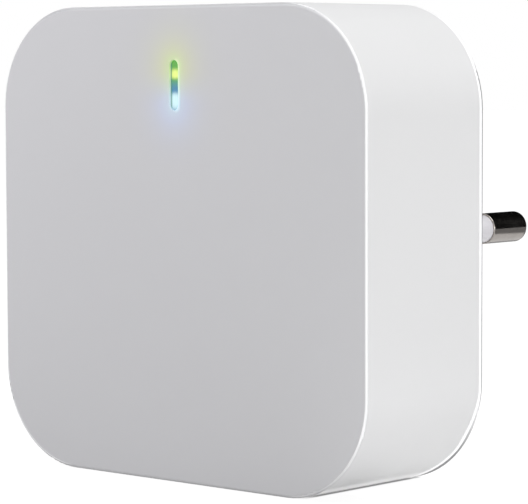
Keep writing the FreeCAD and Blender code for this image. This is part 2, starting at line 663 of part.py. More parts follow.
def make_light_guide():
    """The clear moulding: lens in the slot, flange behind the wall, one prong to each lamp."""
    body = new_body("light_guide")
    flange = rectangle("0", "slot_rise", "flange_width", "flange_height")
    extrude(body, [flange], "flange_level", "front_inner")
    lens = upright_slot("0", "slot_rise", "slot_width - 2 * push_fit", "slot_height - 2 * push_fit")
    extrude(body, [lens], "front_inner", "front_level - lens_recess")
    prongs = [rectangle("0", "slot_rise + (%d) * light_pitch / 2" % sign, "prong_width", "prong_width")
              for sign in (-1, 1)]
    extrude(body, prongs, "lamp_top + lamp_gap", "flange_level")
    return body


def make_light_shroud():
    """The dark block round the two lamps, with a wall between them."""
    body = new_body("light_shroud")
    windows = [rectangle("0", "slot_rise + (%d) * light_pitch / 2" % sign, "window_width", "window_height")
               for sign in (-1, 1)]
    outline = rounded_rectangle("0", "slot_rise", "shroud_width", "shroud_height", "board_corner")
    extrude(body, [outline] + windows, "main_front", "flange_level")
    return body


def make_lamp(label, sign):
    """One surface lamp: its package and the domed window on it."""
    body = new_body(label)
    up = "slot_rise + (%d) * light_pitch / 2" % sign
    extrude(body, [rectangle("0", up, "lamp_width", "lamp_height")], "main_front",
            "main_front + lamp_base")
    extrude(body, [rectangle("0", up, "lamp_window", "lamp_height")],
            "main_front + lamp_base", "lamp_top")
    return body


def make_main_board():
    """The front circuit board, notched round the four screw towers."""
    body = new_body("main_board")
    corners = []
    for x_sign, z_sign in FOUR_CORNERS:
        trio = [(signed(x_sign, "main_across"), signed(z_sign, "notch_up")),
                (signed(x_sign, "notch_across"), signed(z_sign, "notch_up")),
                (signed(x_sign, "notch_across"), signed(z_sign, "main_up"))]
        corners += trio if x_sign == z_sign else trio[::-1]
    extrude(body, [polygon(corners)], "main_back", "main_front")
    round_edges(body, runs_deep, "board_corner")
    extrude(body, circles(main_post_places(), "board_hole"), "main_back - cut_past",
            "main_front + cut_past", cut=True)
    return body


def make_power_board():
    """The rear circuit board, with a slot for each contact strip and its screw holes."""
    body = new_body("power_board")
    outline = rounded_rectangle("0", "0", "power_width", "power_height", "board_corner")
    extrude(body, [outline], "power_back", "power_front")
    slots = [rectangle(signed(sign, "pin_across + strip_shift + strip_thick / 2"), "0",
                       "strip_thick + 2 * plunger_fit", "strip_width + 2 * plunger_fit")
             for sign in (-1, 1)]
    extrude(body, circles(power_post_places(), "board_hole") + slots,
            "power_back - cut_past", "power_front + cut_past", cut=True)
    holes = pin_row("pin_hole") + circles(lead_places(), "lead_radius + lead_fit")
    holes += circles(bobbin_pin_places(), "bobbin_pin + lead_fit")
    extrude(body, holes, "power_back - cut_past", "power_front + cut_past", cut=True)
    return body


def make_module(label, across, drop, wide, tall):
    body = new_body(label)
    outline = rounded_rectangle(across, "-" + drop, wide, tall, "board_corner / 2")
    extrude(body, [outline], "main_front", "main_front + module_thick")
    return body


def make_shield(label, across, drop, wide, tall):
    """A folded metal can over a module's circuits, open towards the board."""
    body = new_body(label)
    up = "-%s + antenna_long / 2 - shield_border / 2" % drop
    high = "%s - antenna_long - shield_border" % tall
    low_level = "main_front + module_thick"
    outline = rectangle(across, up, "%s - 2 * shield_border" % wide, high)
    extrude(body, [outline], low_level, low_level + " + shield_thick")
    round_edges(body, lambda edge: at_level(low_level + " + shield_thick")(edge) or runs_deep(edge),
                "shield_edge")
    inside = rectangle(across, up, "%s - 2 * shield_border - 2 * shield_sheet" % wide,
                       high + " - 2 * shield_sheet")
    extrude(body, [inside], low_level, low_level + " + shield_thick - shield_sheet", cut=True)
    return body


def pin_row(size):
    """The board connector's row of squares, one for each pin."""
    count = int(value_of("pin_count"))
    return [rectangle("(%d - (pin_count - 1) / 2) * pin_pitch" % number, "-connector_drop", size, size)
            for number in range(count)]


def make_board_socket():
    """The connector half on the main board, with a hole for each pin."""
    body = new_body("board_socket")
    low_level = "header_top + connector_gap"
    outline = rectangle("0", "-connector_drop", "pin_count * pin_pitch", "connector_wide")
    extrude(body, [outline], low_level, "main_back")
    extrude(body, pin_row("pin_hole"), low_level, "header_top + pin_rise + blind_end", cut=True)
    return body


def make_board_header():
    """The plastic bar of the connector half on the power board."""
    body = new_body("board_header")
    outline = rectangle("0", "-connector_drop", "pin_count * pin_pitch", "connector_wide")
    extrude(body, [outline] + pin_row("pin_hole"), "power_front", "header_top")
    return body


def make_header_pins():
    """The square pins that join the two boards."""
    body = new_body("header_pins")
    extrude(body, pin_row("pin_square"), "power_back - pin_tail", "header_top + pin_rise")
    return body


def make_screws(label, places, head_start, shank_end, head_forward):
    """A group of equal cross-head screws with their heads at one level."""
    body = new_body(label)
    head_end = "%s %s head_thick" % (head_start, "+" if head_forward else "-")
    if head_forward:
        extrude(body, circles(places, "head_radius"), head_start, head_end)
        extrude(body, circles(places, "screw_radius"), shank_end, head_start)
    else:
        extrude(body, circles(places, "head_radius"), head_end, head_start)
        extrude(body, circles(places, "screw_radius"), head_start, shank_end)
    for wide, tall in (("drive_long", "drive_wide"), ("drive_wide", "drive_long")):
        bars = [rectangle(across, up, wide, tall) for across, up in places]
        if head_forward:
            extrude(body, bars, head_end + " - drive_deep", head_end + " + cut_past", cut=True)
        else:
            extrude(body, bars, head_end + " - cut_past", head_end + " + drive_deep", cut=True)
    return body


def make_reset_button():
    """The side button: its face in the housing's slot, the flange behind it and its stem."""
    body = new_body("reset_button")
    button = upright_slot("-button_level", "0", "button_thick", "button_height")
    extrude(body, [button], "-half_width - button_proud", "-flange_outer", view=SIDE_VIEW)
    face = value_of("-half_width - button_proud")
    round_edges(body, lambda edge: abs(edge.BoundBox.XMax - face) < PLANE_TOLERANCE, "button_edge")
    flange = rectangle("-button_level", "0", "button_thick", "button_height + 2 * button_ledge")
    extrude(body, [flange], "-flange_outer", "-flange_inner", view=SIDE_VIEW)
    stem = rectangle("-button_level", "0", "stem_thick", "stem_height")
    extrude(body, [stem], "-flange_inner", "-plunger_tip", view=SIDE_VIEW)
    return body


def make_reset_switch():
    """The switch under the main board, with the hole that its plunger slides in."""
    body = new_body("reset_switch")
    outline = rectangle("-button_level", "0", "switch_thick", "switch_height")
    extrude(body, [outline], "-switch_face", "switch_long - switch_face", view=SIDE_VIEW)
    hole = rectangle("-button_level", "0", "stem_thick + 2 * plunger_fit", "stem_height + 2 * plunger_fit")
    extrude(body, [hole], "-switch_face", "plunger_root + press_travel + blind_end - switch_face",
            view=SIDE_VIEW, cut=True)
    return body


def make_switch_plunger():
    body = new_body("switch_plunger")
    outline = rectangle("-button_level", "0", "stem_thick", "stem_height")
    extrude(body, [outline], "-plunger_tip", "plunger_root - switch_face", view=SIDE_VIEW)
    return body


def make_plug_pin(label, sign):
    """One round pin: bare tip, core under the sleeve, head in the base and rivet stub."""
    body = new_body(label)
    revolve(body, [("0", "pin_length"), ("pin_radius", "pin_length"), ("pin_radius", "sleeve_length"),
                   ("pin_core", "sleeve_length"), ("pin_core", "-sleeve_root"),
                   ("pin_head", "-sleeve_root"), ("pin_head", "-head_level"),
                   ("rivet_radius", "-head_level"), ("rivet_radius", "-head_level - rivet_long"),
                   ("0", "-head_level - rivet_long")])
    tip = value_of("pin_length")
    round_edges(body, lambda edge: abs(edge.BoundBox.YMin - tip) < PLANE_TOLERANCE, "pin_tip")
    shoulder, inner = value_of("sleeve_length"), value_of("2 * sleeve_radius")
    round_edges(body, lambda edge: abs(edge.BoundBox.YMax - shoulder) < PLANE_TOLERANCE
                and edge.BoundBox.XLength > inner, "pin_shoulder")
    place_body(body, across=signed(sign, "pin_across"))
    return body


def make_pin_sleeve(label, sign):
    body = new_body(label)
    revolve(body, [("sleeve_bore", "sleeve_length"), ("sleeve_radius", "sleeve_length"),
                   ("sleeve_radius", "-sleeve_root"), ("sleeve_bore", "-sleeve_root")])
    place_body(body, across=signed(sign, "pin_across"))
    return body


def make_contact_strip(label, sign):
    """The bent brass strip from a pin's head to its slot in the power board."""
    body = new_body(label)
    near = signed(sign, "pin_across - pin_head")
    leg_in = signed(sign, "pin_across + strip_shift")
    leg_out = signed(sign, "pin_across + strip_shift + strip_thick")
    low = "-head_level"
    high = "-head_level - strip_thick"
    top = "-power_front - strip_stand"
    corners = [(near, low), (leg_out, low), (leg_out, top), (leg_in, top), (leg_in, high), (near, high)]
    extrude(body, [polygon(corners if sign > 0 else corners[::-1])],
            "-strip_width / 2", "strip_width / 2", view=TOP_VIEW)
    bend_x = abs(value_of(leg_in))
    bend_y = value_of(high)
    outer_x = abs(value_of(leg_out))
    outer_y = value_of(low)

    def at_bend(edge, x_place, y_place):
        box = edge.BoundBox
        return (abs(abs(box.XMin) - x_place) < PLANE_TOLERANCE and box.XLength < PLANE_TOLERANCE
                and abs(box.YMin - y_place) < PLANE_TOLERANCE and box.YLength < PLANE_TOLERANCE)

    round_edges(body, lambda edge: at_bend(edge, bend_x, bend_y), "strip_bend")
    round_edges(body, lambda edge: at_bend(edge, outer_x, outer_y), "strip_bend + strip_thick")
    extrude(body, circles([(signed(sign, "pin_across"), "0")], "rivet_radius + push_fit"),
            "head_level - cut_past", "head_level + cut_past", cut=True)
    return body


def make_transformer():
    """The ferrite core, the bobbin on its middle leg and the winding round that."""
    core = new_body("transformer_core")
    up = "-core_drop"
    window_wide = "(core_width - core_leg) / 2 - core_side"
    window_place = "core_leg / 2 + (%s) / 2" % window_wide
    windows = [rectangle(signed(sign, window_place), up, window_wide, "window_high") for sign in (-1, 1)]
    extrude(core, [rectangle("0", up, "core_width", "core_height")] + windows,
            "core_level - core_thick / 2", "core_level + core_thick / 2")

    bobbin = new_body("transformer_bobbin")
    hole = rectangle("0", "-core_level", "core_leg + 2 * bobbin_fit", "core_thick + 2 * bobbin_fit")
    tube = rectangle("0", "-core_level", "core_leg + 2 * (bobbin_fit + bobbin_wall)",
                     "core_thick + 2 * (bobbin_fit + bobbin_wall)")
    low = "-core_drop - window_high / 2 + bobbin_fit"
    high = "-core_drop + window_high / 2 - bobbin_fit"
    flange = rectangle("0", "-core_level", "winding_wide", "winding_thick + 2 * bobbin_flange")
    extrude(bobbin, [tube, hole], low, high, view=TOP_VIEW)
    extrude(bobbin, [flange, hole], low, low + " + bobbin_flange", view=TOP_VIEW)
    extrude(bobbin, [flange, hole], high + " - bobbin_flange", high, view=TOP_VIEW)
    extrude(bobbin, circles(bobbin_pin_places(), "bobbin_pin"), "power_back - lead_tail",
            "power_front + root_sink")

    winding = new_body("transformer_winding")
    outer = rounded_rectangle("0", "-core_level", "winding_wide - 2 * bobbin_fit", "winding_thick",
                              "winding_round")
    inner = rectangle("0", "-core_level", "core_leg + 2 * (2 * bobbin_fit + bobbin_wall)",
                      "core_thick + 2 * (2 * bobbin_fit + bobbin_wall)")
    extrude(winding, [outer, inner], low + " + bobbin_flange + bobbin_fit",
            high + " - bobbin_flange - bobbin_fit", view=TOP_VIEW)
    return [core, bobbin, winding]


def can_outline(length):
    """Half the section of an electrolytic can: crowned end, straight side, rolled groove."""
    return [("0", "0"), ("can_radius - can_bead", "0"), ("can_radius", "can_bead"),
            ("can_radius", length + " - 5 * can_bead"),
            ("can_radius - can_bead", length + " - 4 * can_bead"),
            ("can_radius", length + " - 3 * can_bead"), ("can_radius", length + " - can_bead"),
            ("can_radius - can_bead", length), ("0", length)]


def lead_offsets(spread):
    """How far a component's two leads are from its middle, one each way."""
    return [signed(sign, spread + " / 2") for sign in (-1, 1)]


def make_bulk_capacitor(label, sign):
    """A can that lies along X on the power board, its bent leads towards the middle."""
    body = new_body(label)
    revolve(body, can_outline("can_long"))
    leads = [("0", up) for up in lead_offsets("can_leads")]
    extrude(body, circles(leads, "lead_radius"), "-can_long - lead_bend - lead_radius",
            "root_sink - can_long")
    near, far = "-lead_radius", "can_radius + can_lift + lead_down"
    if sign < 0:
        near, far = "-(%s)" % far, "lead_radius"
    bent = [("can_long + lead_bend", up) for up in lead_offsets("can_leads")]
    extrude(body, circles(bent, "lead_radius"), near, far, view=SIDE_VIEW)
    place_body(body, across=signed(sign, "can_across + can_long / 2"),
               level="power_front + can_lift + can_radius", up="can_rise",
               turn=(Vector(0, 0, 1), QUARTER_TURN * sign))
    return body


def make_output_capacitor():
    body = new_body("output_capacitor")
    revolve(body, can_outline("can_short"))
    leads = [(across, "0") for across in lead_offsets("can_leads")]
    extrude(body, circles(leads, "lead_radius"), "-can_short - can_lift - lead_down",
            "root_sink - can_short")
    place_body(body, across="short_across", level="power_front + can_lift + can_short", up="-short_drop")
    return body


def make_filter_inductor():
    """A drum core with its winding between the two flanges."""
    body = new_body("filter_inductor")
    revolve(body, [("0", "0"), ("choke_radius", "0"), ("choke_radius", "choke_flange"),
                   ("choke_core", "choke_flange"), ("choke_core", "choke_tall - choke_flange"),
                   ("choke_radius", "choke_tall - choke_flange"), ("choke_radius", "choke_tall"),
                   ("0", "choke_tall")])
    leads = [(across, "0") for across in lead_offsets("choke_leads")]
    extrude(body, circles(leads, "lead_radius"), "-choke_tall - lead_down", "root_sink - choke_tall")
    place_body(body, level="power_front + choke_tall", up="can_rise")
    return body


def make_fuse_resistor():
    """A fusible resistor with swollen ends, lying along X with its leads bent to the board."""
    body = new_body("fuse_resistor")
    revolve(body, [("0", "0"), ("fuse_radius", "0"), ("fuse_radius", "fuse_cap"),
                   ("fuse_radius - can_bead", "fuse_cap + can_bead"),
                   ("fuse_radius - can_bead", "fuse_long - fuse_cap - can_bead"),
                   ("fuse_radius", "fuse_long - fuse_cap"), ("fuse_radius", "fuse_long"),
                   ("0", "fuse_long")])
    lead = [circle("0", "0", "lead_radius")]
    extrude(body, lead, "-root_sink", "lead_bend + lead_radius")
    extrude(body, lead, "-fuse_long - lead_bend - lead_radius", "root_sink - fuse_long")
    ends = [("-lead_bend", "0"), ("fuse_long + lead_bend", "0")]
    extrude(body, circles(ends, "lead_radius"), "-lead_radius", "fuse_radius + can_lift + lead_down",
            view=SIDE_VIEW)
    place_body(body, across="fuse_across + fuse_long / 2", level="power_front + fuse_radius + can_lift",
               up="power_top - fuse_edge", turn=(Vector(0, 0, 1), QUARTER_TURN))
    return body


def make_disc(label, across, up, axis_turn):
    """A dipped disc component that stands on edge on the power board, on two straight leads."""
    body = new_body(label)
    half = "disc_thick / 2"
    flat = "disc_radius - disc_slope"
    revolve(body, [("0", "-" + half), (flat, "-" + half), ("disc_radius", "-disc_rim / 2"),
                   ("disc_radius", "disc_rim / 2"), (flat, half), ("0", half)])
    leads = [(across, "0") for across in lead_offsets("disc_leads")]
    extrude(body, circles(leads, "lead_radius"), "-(disc_radius + disc_lift + lead_down)",
            "-disc_radius / 2", view=TOP_VIEW)
    place_body(body, across=across, level="power_front + disc_lift + disc_radius", up=up, turn=axis_turn)
    return body


def make_chip(label, prefix, across, up, face, forward):
    """A moulded circuit package with a row of legs on its left and right sides."""
    body = new_body(label)
    legs = int(value_of(prefix + "_legs"))
    wide, tall, thick = prefix + "_width", prefix + "_height", prefix + "_thick"
    low = face if forward else "%s - %s" % (face, thick)
    high = "%s + %s" % (face, thick) if forward else face
    extrude(body, [rectangle(across, up, wide, tall)], low, high)
    step = "%s / %s_legs" % (tall, prefix)
    foot_low = face if forward else face + " - leg_thick"
    foot_high = face + " + leg_thick" if forward else face
    feet = []
    for sign in (-1, 1):
        foot_place = "(%s) + (%d) * (%s / 2 + leg_reach / 2 - root_sink / 2)" % (across, sign, wide)
        for number in range(legs):
            place = "(%s) + (%d - (%s_legs - 1) / 2) * %s" % (up, number, prefix, step)
            feet.append(rectangle(foot_place, place, "leg_reach + root_sink", "(%s) / 2" % step))
    extrude(body, feet, foot_low, foot_high)
    return body


def make_power_parts():
    parts = make_transformer()
    parts += [make_bulk_capacitor("bulk_capacitor_left", -1), make_bulk_capacitor("bulk_capacitor_right", 1)]
    parts += [make_output_capacitor(), make_filter_inductor(), make_fuse_resistor()]
    parts.append(make_disc("varistor", "-varistor_across", "power_top - varistor_edge",
                           (Vector(1, 0, 0), QUARTER_TURN)))
    parts.append(make_disc("safety_capacitor", "-safety_across", "-safety_drop",
                           (Vector(1, 1, -1), THIRD_TURN)))
    parts.append(make_chip("bridge_rectifier", "bridge", "-bridge_across", "bridge_rise",
                           "power_front", True))
    parts.append(make_chip("power_controller", "driver", "driver_across", "driver_rise",
                           "power_front", True))
    parts.append(make_chip("output_diode", "diode", "diode_across", "-diode_drop",
                           "power_front", True))
    return parts


def make_all():
    parts = [make_front_housing(), make_rear_cover(), make_light_guide(), make_light_shroud()]
    parts += [make_lamp("led_green", 1), make_lamp("led_blue", -1)]
    parts += [make_main_board(), make_power_board()]
    parts.append(make_module("wifi_module", "-wifi_across", "wifi_drop", "wifi_width", "wifi_height"))
    parts.append(make_shield("wifi_shield", "-wifi_across", "wifi_drop", "wifi_width", "wifi_height"))
    parts.append(make_module("mesh_module", "mesh_across", "mesh_drop", "mesh_width", "mesh_height"))
    parts.append(make_shield("mesh_shield", "mesh_across", "mesh_drop", "mesh_width", "mesh_height"))
    parts.append(make_chip("voltage_regulator", "regulator", "regulator_across", "0",
                           "main_back", False))
    parts += [make_board_socket(), make_board_header(), make_header_pins()]
    parts.append(make_screws("housing_screws", tower_places(), "pocket_floor",
                             "pocket_floor + housing_screw", False))
    parts.append(make_screws("main_board_screws", main_post_places(), "main_back",
                             "main_back + board_screw", False))
    parts.append(make_screws("power_board_screws", power_post_places(), "power_front",
                             "power_front - board_screw + blind_end", True))
    parts += [make_reset_button(), make_reset_switch(), make_switch_plunger()]
    for side, sign in (("left", -1), ("right", 1)):
        parts.append(make_plug_pin("plug_pin_" + side, sign))
        parts.append(make_pin_sleeve("pin_sleeve_" + side, sign))
        parts.append(make_contact_strip("contact_strip_" + side, sign))
    return parts + make_power_parts()


def check_and_export(parts):
    """Stops on a failed object or an invalid shape, then writes each piece to its own file."""
    DOCUMENT.recompute()
    failed = [item.Name for item in DOCUMENT.Objects if {"Invalid", "Error"} & set(item.State)]
    if failed:
        raise RuntimeError("failed objects: %s" % failed)
    for part in parts:
        if part.Shape.isNull() or not part.Shape.isValid():
            raise RuntimeError("invalid shape: %s" % part.Label)
    os.makedirs("parts", exist_ok=True)
    for part in parts:
        part.Shape.exportStep("parts/%s.step" % part.Label)
        print(part.Label, len(part.Shape.Solids), round(part.Shape.Volume, 2))


fill_sheet()
check_and_export(make_all())
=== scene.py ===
import json
import math

import bpy
from mathutils import Matrix, Vector


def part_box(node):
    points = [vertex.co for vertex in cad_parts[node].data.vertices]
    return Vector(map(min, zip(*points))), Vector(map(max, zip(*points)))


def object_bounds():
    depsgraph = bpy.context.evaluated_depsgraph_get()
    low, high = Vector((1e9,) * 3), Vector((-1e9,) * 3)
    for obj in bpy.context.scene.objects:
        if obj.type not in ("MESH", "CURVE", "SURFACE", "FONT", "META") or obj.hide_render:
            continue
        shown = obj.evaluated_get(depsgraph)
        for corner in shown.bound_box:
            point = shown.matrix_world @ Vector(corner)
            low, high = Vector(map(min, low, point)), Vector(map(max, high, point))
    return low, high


# A plug-in wireless gateway on a plain white floor: finishes for every piece, lamps and camera.
# Sizes are in metres unless a name says MM. The front faces -Y and the plug's pins point along +Y.

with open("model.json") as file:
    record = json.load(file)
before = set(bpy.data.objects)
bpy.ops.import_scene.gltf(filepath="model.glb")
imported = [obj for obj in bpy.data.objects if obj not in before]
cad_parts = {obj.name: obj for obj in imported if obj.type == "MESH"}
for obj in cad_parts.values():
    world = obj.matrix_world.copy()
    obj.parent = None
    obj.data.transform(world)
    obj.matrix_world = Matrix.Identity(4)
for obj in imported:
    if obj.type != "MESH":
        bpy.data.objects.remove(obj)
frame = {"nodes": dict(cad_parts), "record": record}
CAD_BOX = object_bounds()
NODES = frame["nodes"]
SLOT_OF = {row["node"]: row["material_slot"] for row in frame["record"]["subparts"]}

MM_PER_METRE = 1000.0
FLOOR_SIZE = 4.0
FLOOR_GAP = 0.00002
CARD_LEVEL = CAD_BOX[0][2] + FLOOR_GAP
WHITE = (1.0, 1.0, 1.0, 1.0)
BLACK = (0.0, 0.0, 0.0, 1.0)

CAMERA_AIM = Vector((0.0025, -0.02368, -0.001435))
CAMERA_DISTANCE = 0.3204
CAMERA_TURN = math.radians(42.03)
CAMERA_RISE = math.radians(4.077)
CAMERA_ROLL = math.radians(-0.189)
CAMERA_LENS = 178.8
CAMERA_SENSOR = 36.0


def middle(node):
    low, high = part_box(node)
    return (low + high) / 2


def put(tree, socket, value):
    """Links a socket to the input, or sets a plain value on it."""
    if isinstance(value, bpy.types.NodeSocket):
        tree.links.new(value, socket)
    else:
        socket.default_value = value


def node(tree, kind, inputs=None, **settings):
    """Adds a shader node, with its settings and with values or links for the named inputs."""
    made = tree.nodes.new("ShaderNode" + kind)
    for name, value in settings.items():
        setattr(made, name, value)
    for name, value in (inputs or {}).items():
        put(tree, made.inputs[name], value)
    return made


def calc(tree, operation, first, second=0.0, third=None, clamp=False):
    """Adds a Math node and returns its result."""
    made = tree.nodes.new("ShaderNodeMath")
    made.operation = operation
    made.use_clamp = clamp
    put(tree, made.inputs[0], first)
    put(tree, made.inputs[1], second)
    if third is not None:
        put(tree, made.inputs[2], third)
    return made.outputs[0]


def blend_colours(tree, amount, first, second, how="MIX"):
    """Mixes two colours by an amount and returns the result."""
    made = tree.nodes.new("ShaderNodeMix")
    made.data_type = "RGBA"
    made.blend_type = how
    put(tree, made.inputs["Factor"], amount)
    put(tree, made.inputs[6], first)
    put(tree, made.inputs[7], second)
    return made.outputs[2]


def ramp_between(tree, value, low, high, to_low=0.0, to_high=1.0, smooth=False):
    """Maps a value from one range to another, held at both ends."""
    made = node(tree, "MapRange", {"Value": value, "From Min": low, "From Max": high,
                                   "To Min": to_low, "To Max": to_high}, clamp=True,
                interpolation_type="SMOOTHSTEP" if smooth else "LINEAR")
    return made.outputs["Result"]


def place_in_mm(tree):
    """The point on the piece in millimetres, in the part's own frame."""
    place = node(tree, "TexCoord").outputs["Object"]
    scaled = node(tree, "VectorMath", {0: place, "Scale": MM_PER_METRE}, operation="SCALE")
    return scaled.outputs["Vector"]


def stretched(tree, vector, scales):
    made = node(tree, "VectorMath", {0: vector, 1: scales}, operation="MULTIPLY")
    return made.outputs["Vector"]


def split(tree, vector):
    return node(tree, "SeparateXYZ", {"Vector": vector}).outputs


def noise(tree, vector, scale, detail=2.0, rough=0.5):
    made = node(tree, "TexNoise", {"Vector": vector, "Scale": scale, "Detail": detail, "Roughness": rough})
    return made.outputs["Fac"]


def new_group(name, inputs, outputs):
    """Starts a shader node group with named float or colour sockets."""
    tree = bpy.data.node_groups.new(name, "ShaderNodeTree")
    for label, default in inputs:
        kind = "NodeSocketColor" if isinstance(default, tuple) else "NodeSocketFloat"
        tree.interface.new_socket(label, in_out="INPUT", socket_type=kind).default_value = default
    for label, kind in outputs:
        tree.interface.new_socket(label, in_out="OUTPUT", socket_type="NodeSocket" + kind)
    return tree, tree.nodes.new("NodeGroupInput").outputs, tree.nodes.new("NodeGroupOutput").inputs


def use_group(tree, group, **inputs):
    """Places a node group in a material with its own values, given by name with _ for a space."""
    made = tree.nodes.new("ShaderNodeGroup")
    made.node_tree = group
    for name, value in inputs.items():
        put(tree, made.inputs[name.replace("_", " ")], value)
    return made.outputs


def moulded_skin_group():
    """Moulded plastic: fine grain from the tool, and a slow drift in tone and gloss."""
    tree, given, result = new_group(
        "moulded_skin", [("Colour", WHITE), ("Grain MM", 0.1), ("Drift", 0.02), ("Gloss", 0.4),
                         ("Gloss Drift", 0.06)],
        [("Colour", "Color"), ("Roughness", "Float"), ("Height", "Float")])
    place = place_in_mm(tree)
    per_grain = calc(tree, "DIVIDE", 1.0, given["Grain MM"])
    grain = noise(tree, place, per_grain, 2.0, 0.6)
    drift = noise(tree, place, 0.045, 2.0, 0.45)
    smear = noise(tree, stretched(tree, place, (0.5, 0.5, 0.12)), 0.5, 3.0, 0.6)
    tone = calc(tree, "MULTIPLY_ADD", calc(tree, "SUBTRACT", drift, 0.5), given["Drift"], 1.0)
    tone = calc(tree, "MULTIPLY_ADD", calc(tree, "SUBTRACT", grain, 0.5),
                calc(tree, "MULTIPLY", given["Drift"], 0.4), tone)
    colour = node(tree, "VectorMath", {0: given["Colour"], "Scale": tone}, operation="SCALE")
    put(tree, result["Colour"], colour.outputs["Vector"])
    spread = calc(tree, "MULTIPLY_ADD", calc(tree, "SUBTRACT", smear, 0.5), given["Gloss Drift"],
                  given["Gloss"])
    put(tree, result["Roughness"], spread)
    put(tree, result["Height"], grain)
    return tree


def rounded_edge_group():
    """Where a surface turns from facing along an axis to facing across it, as on a rounded edge."""
    tree, given, result = new_group("rounded_edge", [("Axis", WHITE)], [("Edge", "Float")])
    facing = node(tree, "TexCoord").outputs["Normal"]
    along = node(tree, "VectorMath", {0: facing, 1: given["Axis"]}, operation="DOT_PRODUCT")
    turn = calc(tree, "ABSOLUTE", along.outputs["Value"])
    off_side = ramp_between(tree, turn, 0.42, 0.66)
    off_face = ramp_between(tree, turn, 0.95, 0.84)
    put(tree, result["Edge"], calc(tree, "MULTIPLY", off_side, off_face))
    return tree


def drawn_metal_group():
    """Drawn or turned metal: fine lines along one way, stains and small scratches."""
    tree, given, result = new_group(
        "drawn_metal", [("Colour", WHITE), ("Across MM", 0.05), ("Along MM", 2.0), ("Line Way", BLACK),
                        ("Stain", 0.15), ("Gloss", 0.25)],
        [("Colour", "Color"), ("Roughness", "Float"), ("Height", "Float")])
    place = place_in_mm(tree)
    fine = calc(tree, "DIVIDE", 1.0, given["Across MM"])
    coarse = calc(tree, "DIVIDE", 1.0, given["Along MM"])
    ways = node(tree, "SeparateColor", {"Color": given["Line Way"]}).outputs
    scales = node(tree, "CombineXYZ", {
        axis: calc(tree, "ADD", calc(tree, "MULTIPLY", ways[number], coarse),
                   calc(tree, "MULTIPLY", calc(tree, "SUBTRACT", 1.0, ways[number]), fine))
        for number, axis in enumerate("XYZ")}).outputs["Vector"]
    lines = noise(tree, stretched(tree, place, scales), 1.0, 2.0, 0.6)
    stain = noise(tree, place, 0.35, 4.0, 0.6)
    dark = calc(tree, "MULTIPLY", ramp_between(tree, stain, 0.45, 0.7), given["Stain"])
    tone = calc(tree, "SUBTRACT", calc(tree, "MULTIPLY_ADD", lines, 0.12, 0.94), dark)
    colour = node(tree, "VectorMath", {0: given["Colour"], "Scale": tone}, operation="SCALE")
    put(tree, result["Colour"], colour.outputs["Vector"])
    rough = calc(tree, "ADD", given["Gloss"], calc(tree, "MULTIPLY", dark, 0.6))
    put(tree, result["Roughness"], calc(tree, "MULTIPLY_ADD", calc(tree, "SUBTRACT", lines, 0.5), 0.08,
                                        rough))
    put(tree, result["Height"], lines)
    return tree


def lamp_light_group():
    """Light from the two lamps: nearness to each, from 1 at its middle, over an upright oval."""
    tree, given, result = new_group(
        "lamp_light", [("Lamp MM", 0.0), ("Across MM", 1.0), ("Up MM", 1.0), ("Down MM", 1.0),
                       ("Power", 1.0)],
        [("Nearness", "Float")])
    x, y, z = split(tree, place_in_mm(tree))
    rise = calc(tree, "SUBTRACT", z, given["Lamp MM"])
    above = calc(tree, "DIVIDE", calc(tree, "MAXIMUM", rise, 0.0), given["Up MM"])
    below = calc(tree, "DIVIDE", calc(tree, "MINIMUM", rise, 0.0), given["Down MM"])
    upright = calc(tree, "ADD", above, below)
    across = calc(tree, "DIVIDE", x, given["Across MM"])
    far = calc(tree, "ADD", calc(tree, "MULTIPLY", upright, upright), calc(tree, "MULTIPLY", across, across))
    fall = calc(tree, "POWER", far, given["Power"])
    put(tree, result["Nearness"], calc(tree, "EXPONENT", calc(tree, "MULTIPLY", fall, -1.0)))
    return tree


def board_tracks_group():
    """Copper under a board's lacquer: tracks on a square pattern, vias and tinned pads."""
    tree, given, result = new_group(
        "board_tracks", [("Lacquer", WHITE), ("Over Copper", WHITE), ("Pitch MM", 2.0)],
        [("Colour", "Color"), ("Pad", "Float"), ("Height", "Float")])
    place = place_in_mm(tree)
    x, y, z = split(tree, place)
    flat = node(tree, "CombineXYZ", {"X": x, "Y": z}).outputs["Vector"]
    scale = calc(tree, "DIVIDE", 1.0, given["Pitch MM"])
    cells = node(tree, "TexVoronoi", {"Vector": flat, "Scale": scale, "Randomness": 0.9},
                 feature="F1", distance="CHEBYCHEV")
    nearest = cells.outputs["Distance"]
    wave = calc(tree, "PINGPONG", calc(tree, "MULTIPLY", nearest, 3.0), 0.5)
    track = ramp_between(tree, wave, 0.2, 0.3)
    dots = node(tree, "TexVoronoi", {"Vector": flat, "Scale": calc(tree, "MULTIPLY", scale, 0.8),
                                     "Randomness": 1.0}, feature="F1", distance="EUCLIDEAN")
    pad = ramp_between(tree, dots.outputs["Distance"], 0.16, 0.13)
    put(tree, result["Colour"], blend_colours(tree, track, given["Lacquer"], given["Over Copper"]))
    put(tree, result["Pad"], pad)
    put(tree, result["Height"], calc(tree, "MAXIMUM", track, pad))
    return tree


MOULDED_SKIN = moulded_skin_group()
ROUNDED_EDGE = rounded_edge_group()
DRAWN_METAL = drawn_metal_group()
LAMP_LIGHT = lamp_light_group()
BOARD_TRACKS = board_tracks_group()


def new_finish(name, metallic=0.0, coat=0.0, coat_rough=0.1, ior=1.46):
    """A material with its Principled shader; what is the same all over is set on the shader itself."""
    material = bpy.data.materials.new(name)
    material.use_nodes = True
    tree = material.node_tree
    shader = tree.nodes["Principled BSDF"]
    shader.inputs["Metallic"].default_value = metallic
    shader.inputs["Coat Weight"].default_value = coat
    shader.inputs["Coat Roughness"].default_value = coat_rough
    shader.inputs["IOR"].default_value = ior
    return material, tree, shader.inputs


